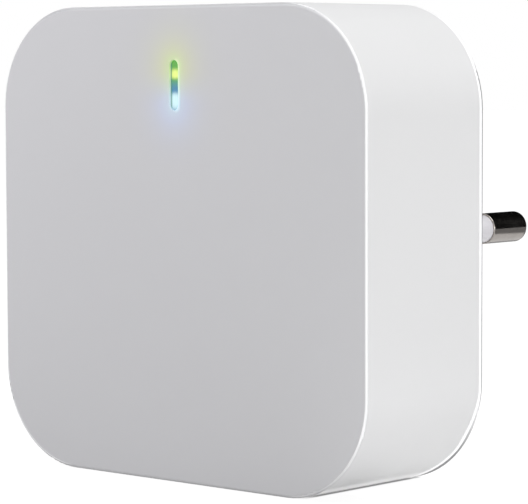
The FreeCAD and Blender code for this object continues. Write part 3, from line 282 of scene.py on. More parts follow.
def raise_height(tree, shader, height, depth_mm, strength=1.0):
    """Feeds a height into the shader's normal as a bump of a real depth."""
    bump = node(tree, "Bump", {"Height": height, "Distance": depth_mm / MM_PER_METRE, "Strength": strength})
    put(tree, shader["Normal"], bump.outputs["Normal"])


def plastic(name, colour, gloss, grain=0.12, depth=0.004, drift=0.02, coat=0.0, gloss_drift=0.06):
    """A plain moulded plastic."""
    material, tree, shader = new_finish(name, coat=coat)
    skin = use_group(tree, MOULDED_SKIN, Colour=(*colour, 1.0), Grain_MM=grain, Drift=drift, Gloss=gloss,
                     Gloss_Drift=gloss_drift)
    put(tree, shader["Base Color"], skin["Colour"])
    put(tree, shader["Roughness"], skin["Roughness"])
    raise_height(tree, shader, skin["Height"], depth)
    return material


def metal(name, colour, gloss, line_way=(0.0, 1.0, 0.0), across=0.05, along=2.0, stain=0.12, depth=0.002):
    """A drawn, rolled or turned metal whose lines run the given way."""
    material, tree, shader = new_finish(name, metallic=1.0)
    lines = use_group(tree, DRAWN_METAL, Colour=(*colour, 1.0), Line_Way=(*line_way, 1.0), Across_MM=across,
                      Along_MM=along, Stain=stain, Gloss=gloss)
    put(tree, shader["Base Color"], lines["Colour"])
    put(tree, shader["Roughness"], lines["Roughness"])
    raise_height(tree, shader, lines["Height"], depth)
    return material


HOUSING_WHITE = (0.862, 0.862, 0.864)
COVER_WHITE = (0.8, 0.8, 0.81)
EDGE_SHADE = (0.1, 0.1, 0.105, 1.0)
EDGE_LIGHT = 0.3
# Painted shade that keeps the front's top rounded edge no brighter than the front.
TOP_EDGE_PAINTED_SHADE = (0.68, 0.68, 0.685, 1.0)
STEP_MM = 1.1
FOOT_HALF_MM = 17.45
FRONT_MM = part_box("front_housing")[0].y * MM_PER_METRE
SEAM_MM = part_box("front_housing")[1].y * MM_PER_METRE
BACK_MM = SEAM_MM + STEP_MM
SLOT_HALF_WIDTH_MM = 0.7
SLOT_HALF_HEIGHT_MM = 3.0
SLOT_MIDDLE_MM = 19.0
GREEN_LAMP_MM = middle("led_green").z * MM_PER_METRE
BLUE_LAMP_MM = middle("led_blue").z * MM_PER_METRE
LAMPS_MIDDLE_MM = (GREEN_LAMP_MM + BLUE_LAMP_MM) / 2
GLOW_REACH_MM = 2.6
GLOW_POWER = 1.4
# Each pair runs from the far or upper colour to the near or lower one.
GREEN_GLOW = ((0.075, 0.095, 0.0, 1.0), (0.05, 0.17, 0.0, 1.0))
BLUE_GLOW = ((0.0, 0.05, 0.2, 1.0), (0.03, 0.13, 0.21, 1.0))
RIM_GLOW = ((0.13, 0.24, 0.08, 1.0), (0.1, 0.25, 0.28, 1.0))
LENS_DEEP = ((0.09, 0.4, 0.04, 1.0), (0.045, 0.235, 0.43, 1.0))
LENS_GREEN_SPOT = (0.85, 1.0, 0.25, 1.0)
LENS_BLUE_SPOT = (0.66, 0.93, 0.98, 1.0)
LENS_WALL_SHADE = (0.06, 0.22, 0.17, 1.0)
GLOW_TINT = (0.86, 0.86, 0.64, 1.0)
# Base colour of the painted edge highlights.
EDGE_HIGHLIGHT_TINT = (0.95, 0.95, 0.96, 1.0)
# Painted highlight colour of the cover's rounded edges.
COVER_EDGE_HIGHLIGHT = (0.85, 0.85, 0.86, 1.0)
STEP_SHADE = (0.3, 0.3, 0.31, 1.0)
LEG_REACH_MM = 0.8
WIRE_PITCH_MM = 0.3
DRUM_FLANGE_MM = 1.0
BOARD_FRONT_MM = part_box("power_board")[0].y * MM_PER_METRE
CAN_FOOT_MM = BOARD_FRONT_MM
DISC_FOOT_MM = BOARD_FRONT_MM - 0.6
BULK_CAN_INNER_MM = 5.3
TIN = (0.62, 0.61, 0.58, 1.0)
TIN_ROUGH = 0.3
RESISTOR_HALF_MM = 4.5
RESISTOR_BAND_MM = 0.7
RESISTOR_BAND_COLOURS = ((0.35, 0.12, 0.03), (0.02, 0.02, 0.02), (0.5, 0.02, 0.02), (0.55, 0.4, 0.1))
RESISTOR_BAND_STARTS_MM = (-2.6, -1.2, 0.2, 2.0)


def slot_distance(tree, x, z):
    """How far, in mm, a point of the front lies outside the light slot's round-ended outline."""
    rise = calc(tree, "SUBTRACT", calc(tree, "ABSOLUTE", calc(tree, "SUBTRACT", z, SLOT_MIDDLE_MM)),
                SLOT_HALF_HEIGHT_MM - SLOT_HALF_WIDTH_MM)
    rise = calc(tree, "MAXIMUM", rise, 0.0)
    square = calc(tree, "ADD", calc(tree, "MULTIPLY", x, x), calc(tree, "MULTIPLY", rise, rise))
    return calc(tree, "SUBTRACT", calc(tree, "SQRT", square), SLOT_HALF_WIDTH_MM)


def object_facing(tree):
    """The way that the surface faces, in the part's own frame."""
    return split(tree, node(tree, "TexCoord").outputs["Normal"])


def underside_shade(tree, facing):
    """Where a wall turns under, or a rounded edge faces down: the thin shade along the lower outline."""
    forward = calc(tree, "ABSOLUTE", facing["Y"])
    turned = calc(tree, "SUBTRACT", calc(tree, "MULTIPLY", forward, 0.4), facing["Z"])
    thin = ramp_between(tree, turned, 0.955, 0.975)
    return calc(tree, "MULTIPLY", thin, ramp_between(tree, forward, 0.1, 0.3, 0.85, 0.15))


def lower_painted_highlight(tree, facing):
    """A painted highlight: the faint bright line above the painted shade on the side wall."""
    begin = ramp_between(tree, facing["Z"], -0.865, -0.895)
    end = ramp_between(tree, facing["Z"], -0.945, -0.925)
    return calc(tree, "MULTIPLY", calc(tree, "MULTIPLY", begin, end), 0.4)


def left_corner_highlight_and_shade(tree, facing, x, z):
    """The painted highlight round the front's lower left corner, and the thin painted shade outside it."""
    at_corner = calc(tree, "MULTIPLY", ramp_between(tree, x, -FOOT_HALF_MM, -FOOT_HALF_MM - 3.0),
                     ramp_between(tree, z, -14.0, -18.0))
    turned = calc(tree, "MULTIPLY", ramp_between(tree, facing["Y"], -0.9996, -0.998),
                  ramp_between(tree, facing["Y"], -0.91, -0.94))
    light = calc(tree, "MULTIPLY", calc(tree, "MULTIPLY", at_corner, turned), 0.8)
    dark = calc(tree, "MULTIPLY", at_corner, ramp_between(tree, facing["Y"], -0.93, -0.89, 0.0, 0.5))
    return light, dark


def top_edge_shade_mask(tree, facing):
    """The rounded edge along the top of the front, where painted shade keeps it no brighter than the front.
    """
    turned_up = calc(tree, "MULTIPLY", ramp_between(tree, facing["Z"], 0.1, 0.5),
                     ramp_between(tree, facing["Y"], -0.3, -0.6))
    return calc(tree, "MULTIPLY", turned_up, ramp_between(tree, facing["X"], 0.3, 0.05))


def rear_edge_highlight_and_shade(tree, facing, y):
    """A painted highlight along the housing's rear edge, and below it painted shade that stands for the step
    to the cover.
    """
    from_seam = calc(tree, "SUBTRACT", SEAM_MM, y)
    low = ramp_between(tree, facing["Z"], -0.1, -0.5)
    lowest = calc(tree, "POWER", ramp_between(tree, facing["Z"], -0.6, -0.97), 2.0)
    dark_reach = calc(tree, "MULTIPLY_ADD", lowest, 1.25, calc(tree, "MULTIPLY_ADD", low, 0.48, 0.36))
    light_reach = calc(tree, "MULTIPLY_ADD", lowest, 2.1, calc(tree, "MULTIPLY_ADD", low, 0.8, 0.66))
    dark = ramp_between(tree, calc(tree, "SUBTRACT", from_seam, dark_reach), 0.04, -0.06)
    light = ramp_between(tree, calc(tree, "SUBTRACT", from_seam, light_reach), 0.04, -0.06)
    dark = calc(tree, "MULTIPLY", dark, ramp_between(tree, facing["Z"], 0.0, -0.7, 0.0, 0.8))
    dark = calc(tree, "MULTIPLY", dark, ramp_between(tree, facing["X"], 0.02, 0.2))
    light = calc(tree, "MULTIPLY", light, ramp_between(tree, facing["Z"], -0.93, -0.98, 1.0, 0.3))
    return light, dark


def housing_finish():
    """Satin white housing, with the lamps' light painted as a glow round the slot, painted highlights along
    its edges and painted shade along its lower and rear outline.
    """
    material, tree, shader = new_finish("satin_white_housing", coat_rough=0.2)
    skin = use_group(tree, MOULDED_SKIN, Colour=(*HOUSING_WHITE, 1.0), Grain_MM=0.16, Drift=0.012,
                     Gloss=0.36, Gloss_Drift=0.05)
    rounded = use_group(tree, ROUNDED_EDGE, Axis=(0.0, 1.0, 0.0, 1.0))["Edge"]
    x, y, z = split(tree, place_in_mm(tree))
    on_front = ramp_between(tree, y, FRONT_MM + 0.5, FRONT_MM + 0.1)
    # The lamps' light through the wall is painted as emission round the slot.
    gap = calc(tree, "MAXIMUM", slot_distance(tree, x, z), 0.0)
    fall = calc(tree, "POWER", calc(tree, "DIVIDE", gap, GLOW_REACH_MM), GLOW_POWER)
    spread = calc(tree, "EXPONENT", calc(tree, "MULTIPLY", fall, -1.0))
    spread = calc(tree, "MULTIPLY", spread, on_front)
    close = calc(tree, "EXPONENT", calc(tree, "DIVIDE", gap, -0.8))
    # Painted highlight on the slot's right rim.
    rim = calc(tree, "MULTIPLY", ramp_between(tree, gap, 0.34, 0.18), on_front)
    rim = calc(tree, "MULTIPLY", rim, ramp_between(tree, x, 0.1, 0.6))
    lower = ramp_between(tree, z, SLOT_MIDDLE_MM + 2.0, SLOT_MIDDLE_MM - 2.4, smooth=True)
    green = blend_colours(tree, close, *GREEN_GLOW)
    blue = blend_colours(tree, close, *BLUE_GLOW)
    glow = blend_colours(tree, lower, green, blue)
    glow = blend_colours(tree, spread, BLACK, glow)
    rim_light = blend_colours(tree, lower, *RIM_GLOW)
    glow = blend_colours(tree, rim, glow, rim_light, "ADD")
    facing = object_facing(tree)
    fade_below = ramp_between(tree, facing["Z"], -0.64, -0.2, 0.15, 1.0)
    # Painted highlight along the front's rounded edge, faded where it faces down and on the top edge.
    front_edge_highlight = calc(tree, "MULTIPLY", rounded, fade_below)
    upper = calc(tree, "MULTIPLY", ramp_between(tree, facing["Z"], 0.15, 0.6),
                 ramp_between(tree, facing["Y"], -0.63, -0.78))
    front_edge_highlight = calc(tree, "MULTIPLY", front_edge_highlight, calc(tree, "SUBTRACT", 1.0, upper))
    rear_light, rear_dark = rear_edge_highlight_and_shade(tree, facing, y)
    # The lines gather the painted highlights along the front, rear, lower and left corner edges.
    lines = calc(tree, "MAXIMUM", front_edge_highlight, rear_light)
    lines = calc(tree, "MAXIMUM", lines, lower_painted_highlight(tree, facing))
    lines = calc(tree, "MULTIPLY", lines, ramp_between(tree, facing["X"], 0.02, 0.12))
    left_light, left_dark = left_corner_highlight_and_shade(tree, facing, x, z)
    lines = calc(tree, "MAXIMUM", lines, left_light)
    # Painted shade along the lower outline, the step to the cover and the lower left corner.
    shade = calc(tree, "MAXIMUM", underside_shade(tree, facing), rear_dark)
    shade = calc(tree, "MAXIMUM", shade, left_dark)
    lines = calc(tree, "MULTIPLY", lines, calc(tree, "SUBTRACT", 1.0, shade))
    # Painted highlights added as emission along the lines.
    glow = blend_colours(tree, calc(tree, "MULTIPLY", lines, EDGE_LIGHT), glow, WHITE, "ADD")
    # The green glow is painted into the base colour too, as a yellow tint.
    green_glow_tint = calc(tree, "MULTIPLY", spread, calc(tree, "SUBTRACT", 1.0, lower))
    tinted = blend_colours(tree, green_glow_tint, skin["Colour"], GLOW_TINT)
    tinted = blend_colours(tree, top_edge_shade_mask(tree, facing), tinted, TOP_EDGE_PAINTED_SHADE)
    # Painted highlights also whiten the base colour along the lines.
    tinted = blend_colours(tree, lines, tinted, EDGE_HIGHLIGHT_TINT)
    put(tree, shader["Base Color"], blend_colours(tree, shade, tinted, EDGE_SHADE))
    rough = calc(tree, "MULTIPLY_ADD", lines, -0.12, skin["Roughness"])
    rough = calc(tree, "MULTIPLY_ADD", ramp_between(tree, facing["Z"], 0.5, 0.95), 0.3, rough)
    put(tree, shader["Roughness"], calc(tree, "MULTIPLY_ADD", shade, 0.6, rough, clamp=True))
    put(tree, shader["Coat Weight"], calc(tree, "MULTIPLY_ADD", lines, 0.5, 0.05))
    put(tree, shader["Emission Color"], glow)
    shader["Emission Strength"].default_value = 1.0
    raise_height(tree, shader, skin["Height"], 0.003)
    return material


def cover_finish():
    """Finely textured white cover, with painted shade where it steps in behind the housing and a painted
    highlight on its rounded edges.
    """
    material, tree, shader = new_finish("textured_white_cover")
    skin = use_group(tree, MOULDED_SKIN, Colour=(*COVER_WHITE, 1.0), Grain_MM=0.3, Drift=0.02, Gloss=0.55,
                     Gloss_Drift=0.06)
    rounded = use_group(tree, ROUNDED_EDGE, Axis=(0.0, 1.0, 0.0, 1.0))["Edge"]
    y = split(tree, place_in_mm(tree))["Y"]
    in_step = calc(tree, "MULTIPLY", ramp_between(tree, y, BACK_MM + 0.02, BACK_MM - 0.02),
                   ramp_between(tree, object_facing(tree)["Y"], 0.95, 0.75))
    # Painted highlight on the rounded edges, painted shade on the step's side.
    put(tree, shader["Base Color"], blend_colours(
        tree, in_step, blend_colours(tree, rounded, skin["Colour"], COVER_EDGE_HIGHLIGHT), STEP_SHADE))
    put(tree, shader["Roughness"], skin["Roughness"])
    raise_height(tree, shader, skin["Height"], 0.02)
    return material


def lens_finish():
    """The clear light guide: green above, blue below, with a bright spot over each lamp."""
    material, tree, shader = new_finish("lit_light_guide", coat=0.6, coat_rough=0.06, ior=1.5)
    x, y, z = split(tree, place_in_mm(tree))
    streak = noise(tree, stretched(tree, place_in_mm(tree), (6.0, 1.0, 0.8)), 1.0, 2.0)
    down = ramp_between(tree, z, LAMPS_MIDDLE_MM + 1.1, LAMPS_MIDDLE_MM - 0.6, smooth=True)
    deep = blend_colours(tree, down, *LENS_DEEP)
    green = use_group(tree, LAMP_LIGHT, Lamp_MM=GREEN_LAMP_MM - 0.25, Across_MM=1.2, Up_MM=0.62,
                      Down_MM=0.55, Power=1.8)["Nearness"]
    blue = use_group(tree, LAMP_LIGHT, Lamp_MM=BLUE_LAMP_MM - 0.2, Across_MM=1.2, Up_MM=0.87, Down_MM=1.2,
                     Power=2.2)["Nearness"]
    lit = blend_colours(tree, green, deep, LENS_GREEN_SPOT)
    lit = blend_colours(tree, blue, lit, LENS_BLUE_SPOT)
    lit = blend_colours(tree, calc(tree, "MULTIPLY", streak, 0.15), lit, BLACK)
    wall_shade = ramp_between(tree, x, -0.42, -0.56)
    lit = blend_colours(tree, calc(tree, "MULTIPLY", wall_shade, 0.75), lit, LENS_WALL_SHADE)
    put(tree, shader["Base Color"], blend_colours(tree, 0.9, lit, BLACK))
    put(tree, shader["Roughness"], calc(tree, "MULTIPLY_ADD", streak, 0.1, 0.08))
    put(tree, shader["Emission Color"], lit)
    shader["Emission Strength"].default_value = 1.0
    return material


def lamp_finish(name, colour):
    """A surface lamp: pale package with a glowing window towards the front."""
    material, tree, shader = new_finish(name, coat=0.3)
    y = split(tree, place_in_mm(tree))["Y"]
    low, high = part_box(name.replace("glowing_", "led_"))
    window = ramp_between(tree, y, high.y * MM_PER_METRE - 0.45, high.y * MM_PER_METRE - 0.55)
    package = noise(tree, place_in_mm(tree), 4.0)
    base = blend_colours(tree, window, (0.8, 0.8, 0.76, 1.0), (*colour, 1.0))
    put(tree, shader["Base Color"], base)
    put(tree, shader["Roughness"], calc(tree, "MULTIPLY_ADD", package, 0.1, 0.3))
    put(tree, shader["Emission Color"], blend_colours(tree, window, BLACK, (*colour, 1.0)))
    shader["Emission Strength"].default_value = 3.0
    return material


def tin_leads(tree, shader, lead, colour, rough, metallic=None):
    """Feeds a finish into the shader, with tinned metal where the lead mask is 1."""
    put(tree, shader["Base Color"], blend_colours(tree, lead, colour, TIN))
    put(tree, shader["Metallic"], lead if metallic is None else metallic)
    put(tree, shader["Roughness"], ramp_between(tree, lead, 0.0, 1.0, rough, TIN_ROUGH))


def behind(tree, y, level):
    """1 for what lies behind a level in mm, as wire leads do below a body that stands on the board."""
    return ramp_between(tree, y, level - 0.02, level + 0.02)


def board_finish(name, lacquer, over_copper, pitch):
    """A lacquered circuit board with tracks and tinned pads."""
    material, tree, shader = new_finish(name, coat=0.3, coat_rough=0.2)
    tracks = use_group(tree, BOARD_TRACKS, Lacquer=(*lacquer, 1.0), Over_Copper=(*over_copper, 1.0),
                       Pitch_MM=pitch)
    put(tree, shader["Base Color"], blend_colours(tree, tracks["Pad"], tracks["Colour"], TIN))
    put(tree, shader["Metallic"], calc(tree, "MULTIPLY", tracks["Pad"], 0.9))
    put(tree, shader["Roughness"], calc(tree, "MULTIPLY_ADD", tracks["Pad"], -0.12, 0.42))
    raise_height(tree, shader, tracks["Height"], 0.02)
    return material


def chip_finish(name):
    """Black moulded package; its legs, past the package's sides, are tinned."""
    material, tree, shader = new_finish("package_" + name)
    low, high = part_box(name)
    skin = use_group(tree, MOULDED_SKIN, Colour=(0.025, 0.025, 0.028, 1.0), Grain_MM=0.08, Drift=0.3,
                     Gloss=0.5, Gloss_Drift=0.1)
    x = split(tree, place_in_mm(tree))["X"]
    half = (high.x - low.x) / 2 * MM_PER_METRE
    out = calc(tree, "ABSOLUTE", calc(tree, "SUBTRACT", x, middle(name).x * MM_PER_METRE))
    leg = ramp_between(tree, out, half - LEG_REACH_MM - 0.02, half - LEG_REACH_MM + 0.02)
    put(tree, shader["Base Color"], blend_colours(tree, leg, skin["Colour"], (0.6, 0.6, 0.58, 1.0)))
    put(tree, shader["Metallic"], leg)
    put(tree, shader["Roughness"], calc(tree, "MULTIPLY_ADD", leg, -0.2, skin["Roughness"]))
    raise_height(tree, shader, skin["Height"], 0.006)
    return material


def dipped_finish(name, colour, foot):
    """A dipped disc on two wire leads: an uneven glossy coat down to its foot, then tinned wire."""
    material, tree, shader = new_finish(name, coat=0.4)
    skin = use_group(tree, MOULDED_SKIN, Colour=(*colour, 1.0), Grain_MM=1.2, Drift=0.1, Gloss=0.25,
                     Gloss_Drift=0.06)
    y = split(tree, place_in_mm(tree))["Y"]
    tin_leads(tree, shader, behind(tree, y, foot), skin["Colour"], skin["Roughness"])
    raise_height(tree, shader, skin["Height"], 0.05)
    return material


def bobbin_finish():
    """Black moulded bobbin with tinned pins through the board."""
    material, tree, shader = new_finish("black_bobbin")
    skin = use_group(tree, MOULDED_SKIN, Colour=(0.03, 0.03, 0.03, 1.0), Grain_MM=0.12, Drift=0.02,
                     Gloss=0.5, Gloss_Drift=0.06)
    y = split(tree, place_in_mm(tree))["Y"]
    tin_leads(tree, shader, behind(tree, y, BOARD_FRONT_MM), skin["Colour"], skin["Roughness"])
    raise_height(tree, shader, skin["Height"], 0.004)
    return material


def banded_finish(name, place, reach, body, bands):
    """A part painted with bands across X, in mm from its middle; past its reach are tinned leads."""
    material, tree, shader = new_finish(name, coat=0.3)
    skin = use_group(tree, MOULDED_SKIN, Colour=(*body, 1.0), Grain_MM=0.2, Drift=0.08, Gloss=0.3,
                     Gloss_Drift=0.08)
    x = split(tree, place_in_mm(tree))["X"]
    away = calc(tree, "SUBTRACT", x, place)
    lead = ramp_between(tree, calc(tree, "ABSOLUTE", away), reach - 0.02, reach + 0.02)
    colour = skin["Colour"]
    for start, end, paint in bands:
        inside = calc(tree, "MULTIPLY", ramp_between(tree, away, start - 0.03, start + 0.03),
                      ramp_between(tree, away, end + 0.03, end - 0.03))
        colour = blend_colours(tree, inside, colour, (*paint, 1.0))
    tin_leads(tree, shader, lead, colour, skin["Roughness"])
    raise_height(tree, shader, skin["Height"], 0.006)
    return material


def can_finish(name):
    """An electrolytic can: shrunk sleeve with a pale stripe, bare aluminium at its crowned end."""
    material, tree, shader = new_finish("can_" + name, coat=0.3)
    low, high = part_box(name)
    mid = middle(name) * MM_PER_METRE
    skin = use_group(tree, MOULDED_SKIN, Colour=(0.03, 0.035, 0.05, 1.0), Grain_MM=0.3, Drift=0.2,
                     Gloss=0.28, Gloss_Drift=0.08)
    x, y, z = split(tree, place_in_mm(tree))
    out_two = calc(tree, "SUBTRACT", z, mid.z)
    radius = (high.z - low.z) / 2 * MM_PER_METRE
    if name == "output_capacitor":
        crown = low.y * MM_PER_METRE
        out_one = calc(tree, "SUBTRACT", x, mid.x)
        end_face = ramp_between(tree, y, crown + 0.2, crown + 0.1)
        lead = behind(tree, y, CAN_FOOT_MM)
    else:
        crown = max(abs(low.x), abs(high.x)) * MM_PER_METRE
        out_one = calc(tree, "SUBTRACT", y, low.y * MM_PER_METRE + radius)
        along = calc(tree, "ABSOLUTE", x)
        end_face = ramp_between(tree, along, crown - 0.2, crown - 0.1)
        lead = ramp_between(tree, along, BULK_CAN_INNER_MM + 0.01, BULK_CAN_INNER_MM - 0.03)
    off_axis = calc(tree, "SQRT", calc(tree, "ADD", calc(tree, "MULTIPLY", out_one, out_one),
                                       calc(tree, "MULTIPLY", out_two, out_two)))
    bare = calc(tree, "MULTIPLY", end_face, ramp_between(tree, off_axis, radius - 0.55, radius - 0.65))
    angle = calc(tree, "ARCTAN2", out_one, out_two)
    stripe = ramp_between(tree, calc(tree, "ABSOLUTE", calc(tree, "SUBTRACT", angle, 2.0)), 0.45, 0.42)
    paint = blend_colours(tree, stripe, skin["Colour"], (0.55, 0.56, 0.6, 1.0))
    tin_leads(tree, shader, calc(tree, "MAXIMUM", bare, lead), paint, skin["Roughness"])
    raise_height(tree, shader, skin["Height"], 0.01)
    return material


def winding_finish():
    """The transformer's winding under layers of yellow tape, with the tape's edges."""
    material, tree, shader = new_finish("taped_winding", coat=0.25)
    place = place_in_mm(tree)
    x, y, z = split(tree, place)
    lap = calc(tree, "PINGPONG", calc(tree, "ADD", z, calc(tree, "MULTIPLY", x, 0.04)), 1.7)
    edge = ramp_between(tree, lap, 0.09, 0.03)
    wrinkle = noise(tree, stretched(tree, place, (0.4, 0.4, 3.0)), 1.2, 3.0)
    tape = blend_colours(tree, wrinkle, (0.72, 0.5, 0.05, 1.0), (0.82, 0.62, 0.1, 1.0))
    put(tree, shader["Base Color"], blend_colours(tree, edge, tape, (0.5, 0.3, 0.03, 1.0)))
    put(tree, shader["Roughness"], calc(tree, "MULTIPLY_ADD", wrinkle, 0.2, 0.25))
    raise_height(tree, shader, calc(tree, "SUBTRACT", wrinkle, edge), 0.03)
    return material


def inductor_finish():
    """A drum core: dark ferrite flanges with close turns of enamelled copper between them, the copper
    painted darker in the grooves between turns as painted shade.
    """
    material, tree, shader = new_finish("drum_inductor", coat=0.2)
    place = place_in_mm(tree)
    y = split(tree, place)["Y"]
    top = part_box("filter_inductor")[0].y * MM_PER_METRE
    from_ends = calc(tree, "MINIMUM", calc(tree, "SUBTRACT", y, top),
                     calc(tree, "SUBTRACT", BOARD_FRONT_MM, y))
    wound = ramp_between(tree, from_ends, DRUM_FLANGE_MM - 0.03, DRUM_FLANGE_MM + 0.03)
    lead = behind(tree, y, BOARD_FRONT_MM)
    turns = calc(tree, "PINGPONG", y, WIRE_PITCH_MM / 2)
    turn_height_and_groove_shade = ramp_between(tree, turns, 0.0, WIRE_PITCH_MM / 2, smooth=True)
    speck = noise(tree, place, 5.0, 3.0)
    ferrite = blend_colours(tree, speck, (0.035, 0.035, 0.038, 1.0), (0.07, 0.07, 0.072, 1.0))
    # Painted shade: the copper is darker in the grooves between the turns.
    copper = blend_colours(tree, turn_height_and_groove_shade, (0.2, 0.06, 0.02, 1.0), (0.72, 0.3, 0.13, 1.0))
    tin_leads(tree, shader, lead, blend_colours(tree, wound, ferrite, copper),
              calc(tree, "MULTIPLY_ADD", wound, -0.35, 0.65),
              metallic=calc(tree, "MAXIMUM", lead, calc(tree, "MULTIPLY", wound, 0.7)))
    raise_height(tree, shader, calc(tree, "MULTIPLY", wound, turn_height_and_groove_shade), 0.1)
    return material


def resistor_finish():
    """The fuse resistor's green body with its four colour bands."""
    mid = middle("fuse_resistor").x * MM_PER_METRE
    bands = [(start, start + RESISTOR_BAND_MM, paint)
             for start, paint in zip(RESISTOR_BAND_STARTS_MM, RESISTOR_BAND_COLOURS)]
    return banded_finish("banded_resistor", mid, RESISTOR_HALF_MM, (0.1, 0.24, 0.12), bands)


def finish_for(name, slot):
    """The finish of one piece, by the record's slot, or by its own name where a slot has several."""
    if slot == "chip":
        return chip_finish(name)
    if slot == "can":
        return can_finish(name)
    if name == "filter_inductor":
        return inductor_finish()
    if name == "safety_capacitor":
        return DIPPED_BLUE
    return FINISHES[slot]


DIPPED_BLUE = dipped_finish("dipped_blue", (0.03, 0.12, 0.42), DISC_FOOT_MM)
GREEN_LIGHT = (0.35, 1.0, 0.1)
BLUE_LIGHT = (0.25, 0.75, 1.0)
FINISHES = {
    "housing": housing_finish(),
    "cover": cover_finish(),
    "lens": lens_finish(),
    "shroud": plastic("black_shroud", (0.02, 0.02, 0.022), 0.55),
    "lamp_green": lamp_finish("glowing_green", GREEN_LIGHT),
    "lamp_blue": lamp_finish("glowing_blue", BLUE_LIGHT),
    "board": board_finish("green_board", (0.012, 0.085, 0.035), (0.03, 0.17, 0.06), 2.4),
    "module": board_finish("dark_module_board", (0.01, 0.015, 0.03), (0.025, 0.035, 0.06), 1.2),
    "shield": metal("tinned_shield", (0.72, 0.72, 0.7), 0.3, line_way=(0.0, 0.0, 1.0), along=4.0),
    "connector": plastic("black_connector", (0.02, 0.02, 0.022), 0.4, grain=0.2),
    "contact": metal("brass_contact", (0.75, 0.55, 0.24), 0.28, line_way=(0.0, 1.0, 0.0)),
    "screw": metal("zinc_screw", (0.62, 0.62, 0.6), 0.32, line_way=(0.0, 0.0, 0.0), across=0.15),
    "button": plastic("satin_white_button", HOUSING_WHITE, 0.34, drift=0.012, coat=0.12),
    "switch": plastic("black_switch", (0.02, 0.02, 0.022), 0.45),
    "plunger": plastic("white_plunger", (0.7, 0.7, 0.68), 0.4),
    "pin": metal("nickel_pin", (0.35, 0.325, 0.305), 0.15, line_way=(0.0, 0.0, 0.0), across=0.4, along=0.4,
                 stain=0.1, depth=0.001),
    "sleeve": plastic("white_sleeve", (0.77, 0.755, 0.785), 0.3, grain=0.3, depth=0.004, coat=0.2),
    "ferrite": plastic("dark_ferrite", (0.05, 0.05, 0.052), 0.7, grain=0.15, depth=0.02, drift=0.3),
    "bobbin": bobbin_finish(),
    "winding": winding_finish(),
    "resistor": resistor_finish(),
    "disc": dipped_finish("dipped_orange", (0.65, 0.17, 0.02), DISC_FOOT_MM),
}

for name, piece in NODES.items():
    piece.data.materials.clear()
    piece.data.materials.append(finish_for(name, SLOT_OF[name]))


def seen_or_mirrored(tree):
    """1 for what the camera sees, directly, in a mirror or through glass, and 0 for light on matt faces."""
    rays = node(tree, "LightPath").outputs
    either = calc(tree, "MAXIMUM", rays["Is Camera Ray"], rays["Is Glossy Ray"])
    return calc(tree, "MAXIMUM", either, rays["Is Transmission Ray"])


SKY_LIGHT = 0.3
SKY_TINT = (0.985, 0.99, 1.0, 1.0)
FLOOR_GREY = (0.8, 0.8, 0.8, 1.0)
FLOOR_SHADE_SHARE = 0.16
CONTACT_SHADE_SHARE = 0.82
CONTACT_MM = 2.0
CONTACT_FADE_MM = 0.35
CONTACT_START_MM = 0.7
CONTACT_FULL_MM = 3.5
FLOOR_WHITE = 1.16


def make_sky():
    """White where it is seen, and a plain even light on the object."""
    world = bpy.data.worlds.new("studio")
    bpy.context.scene.world = world
    world.use_nodes = True
    tree = world.node_tree
    sky = tree.nodes["Background"]
    seen = seen_or_mirrored(tree)
    put(tree, sky.inputs["Color"], blend_colours(tree, seen, SKY_TINT, WHITE))
    put(tree, sky.inputs["Strength"], ramp_between(tree, seen, 0.0, 1.0, SKY_LIGHT, 1.0))


def contact_shade(tree):
    """1 on the floor close under the housing's side walls, where little light comes, and 0 outside."""
    x, y, z = split(tree, place_in_mm(tree))
    aside = ramp_between(tree, calc(tree, "ABSOLUTE", x), FOOT_HALF_MM + CONTACT_MM + CONTACT_FADE_MM,
                         FOOT_HALF_MM + CONTACT_MM)
    ahead = ramp_between(tree, y, FRONT_MM + CONTACT_START_MM, FRONT_MM + CONTACT_FULL_MM)
    back = ramp_between(tree, y, BACK_MM + 0.3, BACK_MM - 0.1)
    return calc(tree, "MULTIPLY", aside, calc(tree, "MULTIPLY", ahead, back))


def make_floor():
    """A pale floor that shows white and keeps a part of the object's shadow, most where they touch."""
    half = FLOOR_SIZE / 2
    level = CAD_BOX[0][2] - FLOOR_GAP
    mesh = bpy.data.meshes.new("floor")
    mesh.from_pydata([(-half, -half, level), (half, -half, level), (half, half, level),
                      (-half, half, level)], [], [(0, 1, 2, 3)])
    floor = bpy.data.objects.new("floor", mesh)
    bpy.context.scene.collection.objects.link(floor)
    material, tree, shader = new_finish("pale_floor")
    put(tree, shader["Base Color"], FLOOR_GREY)
    put(tree, shader["Roughness"], 0.9)
    shader["Specular IOR Level"].default_value = 0.0
    white = node(tree, "Emission", {"Color": WHITE, "Strength": FLOOR_WHITE})
    near = ramp_between(tree, contact_shade(tree), 0.0, 1.0, 1.0 - FLOOR_SHADE_SHARE,
                        1.0 - CONTACT_SHADE_SHARE)
    share = calc(tree, "MULTIPLY", seen_or_mirrored(tree), near)
    mixed = node(tree, "MixShader", {"Fac": share, 1: tree.nodes["Principled BSDF"].outputs["BSDF"],
                                     2: white.outputs["Emission"]})
    put(tree, tree.nodes["Material Output"].inputs["Surface"], mixed.outputs["Shader"])
    mesh.materials.append(material)


def direction(turn, rise):
    """A unit vector from the object: turn in degrees from its right side towards its front."""
    turn, rise = math.radians(turn), math.radians(rise)
    return Vector((math.cos(turn) * math.cos(rise), -math.sin(turn) * math.cos(rise), math.sin(rise)))


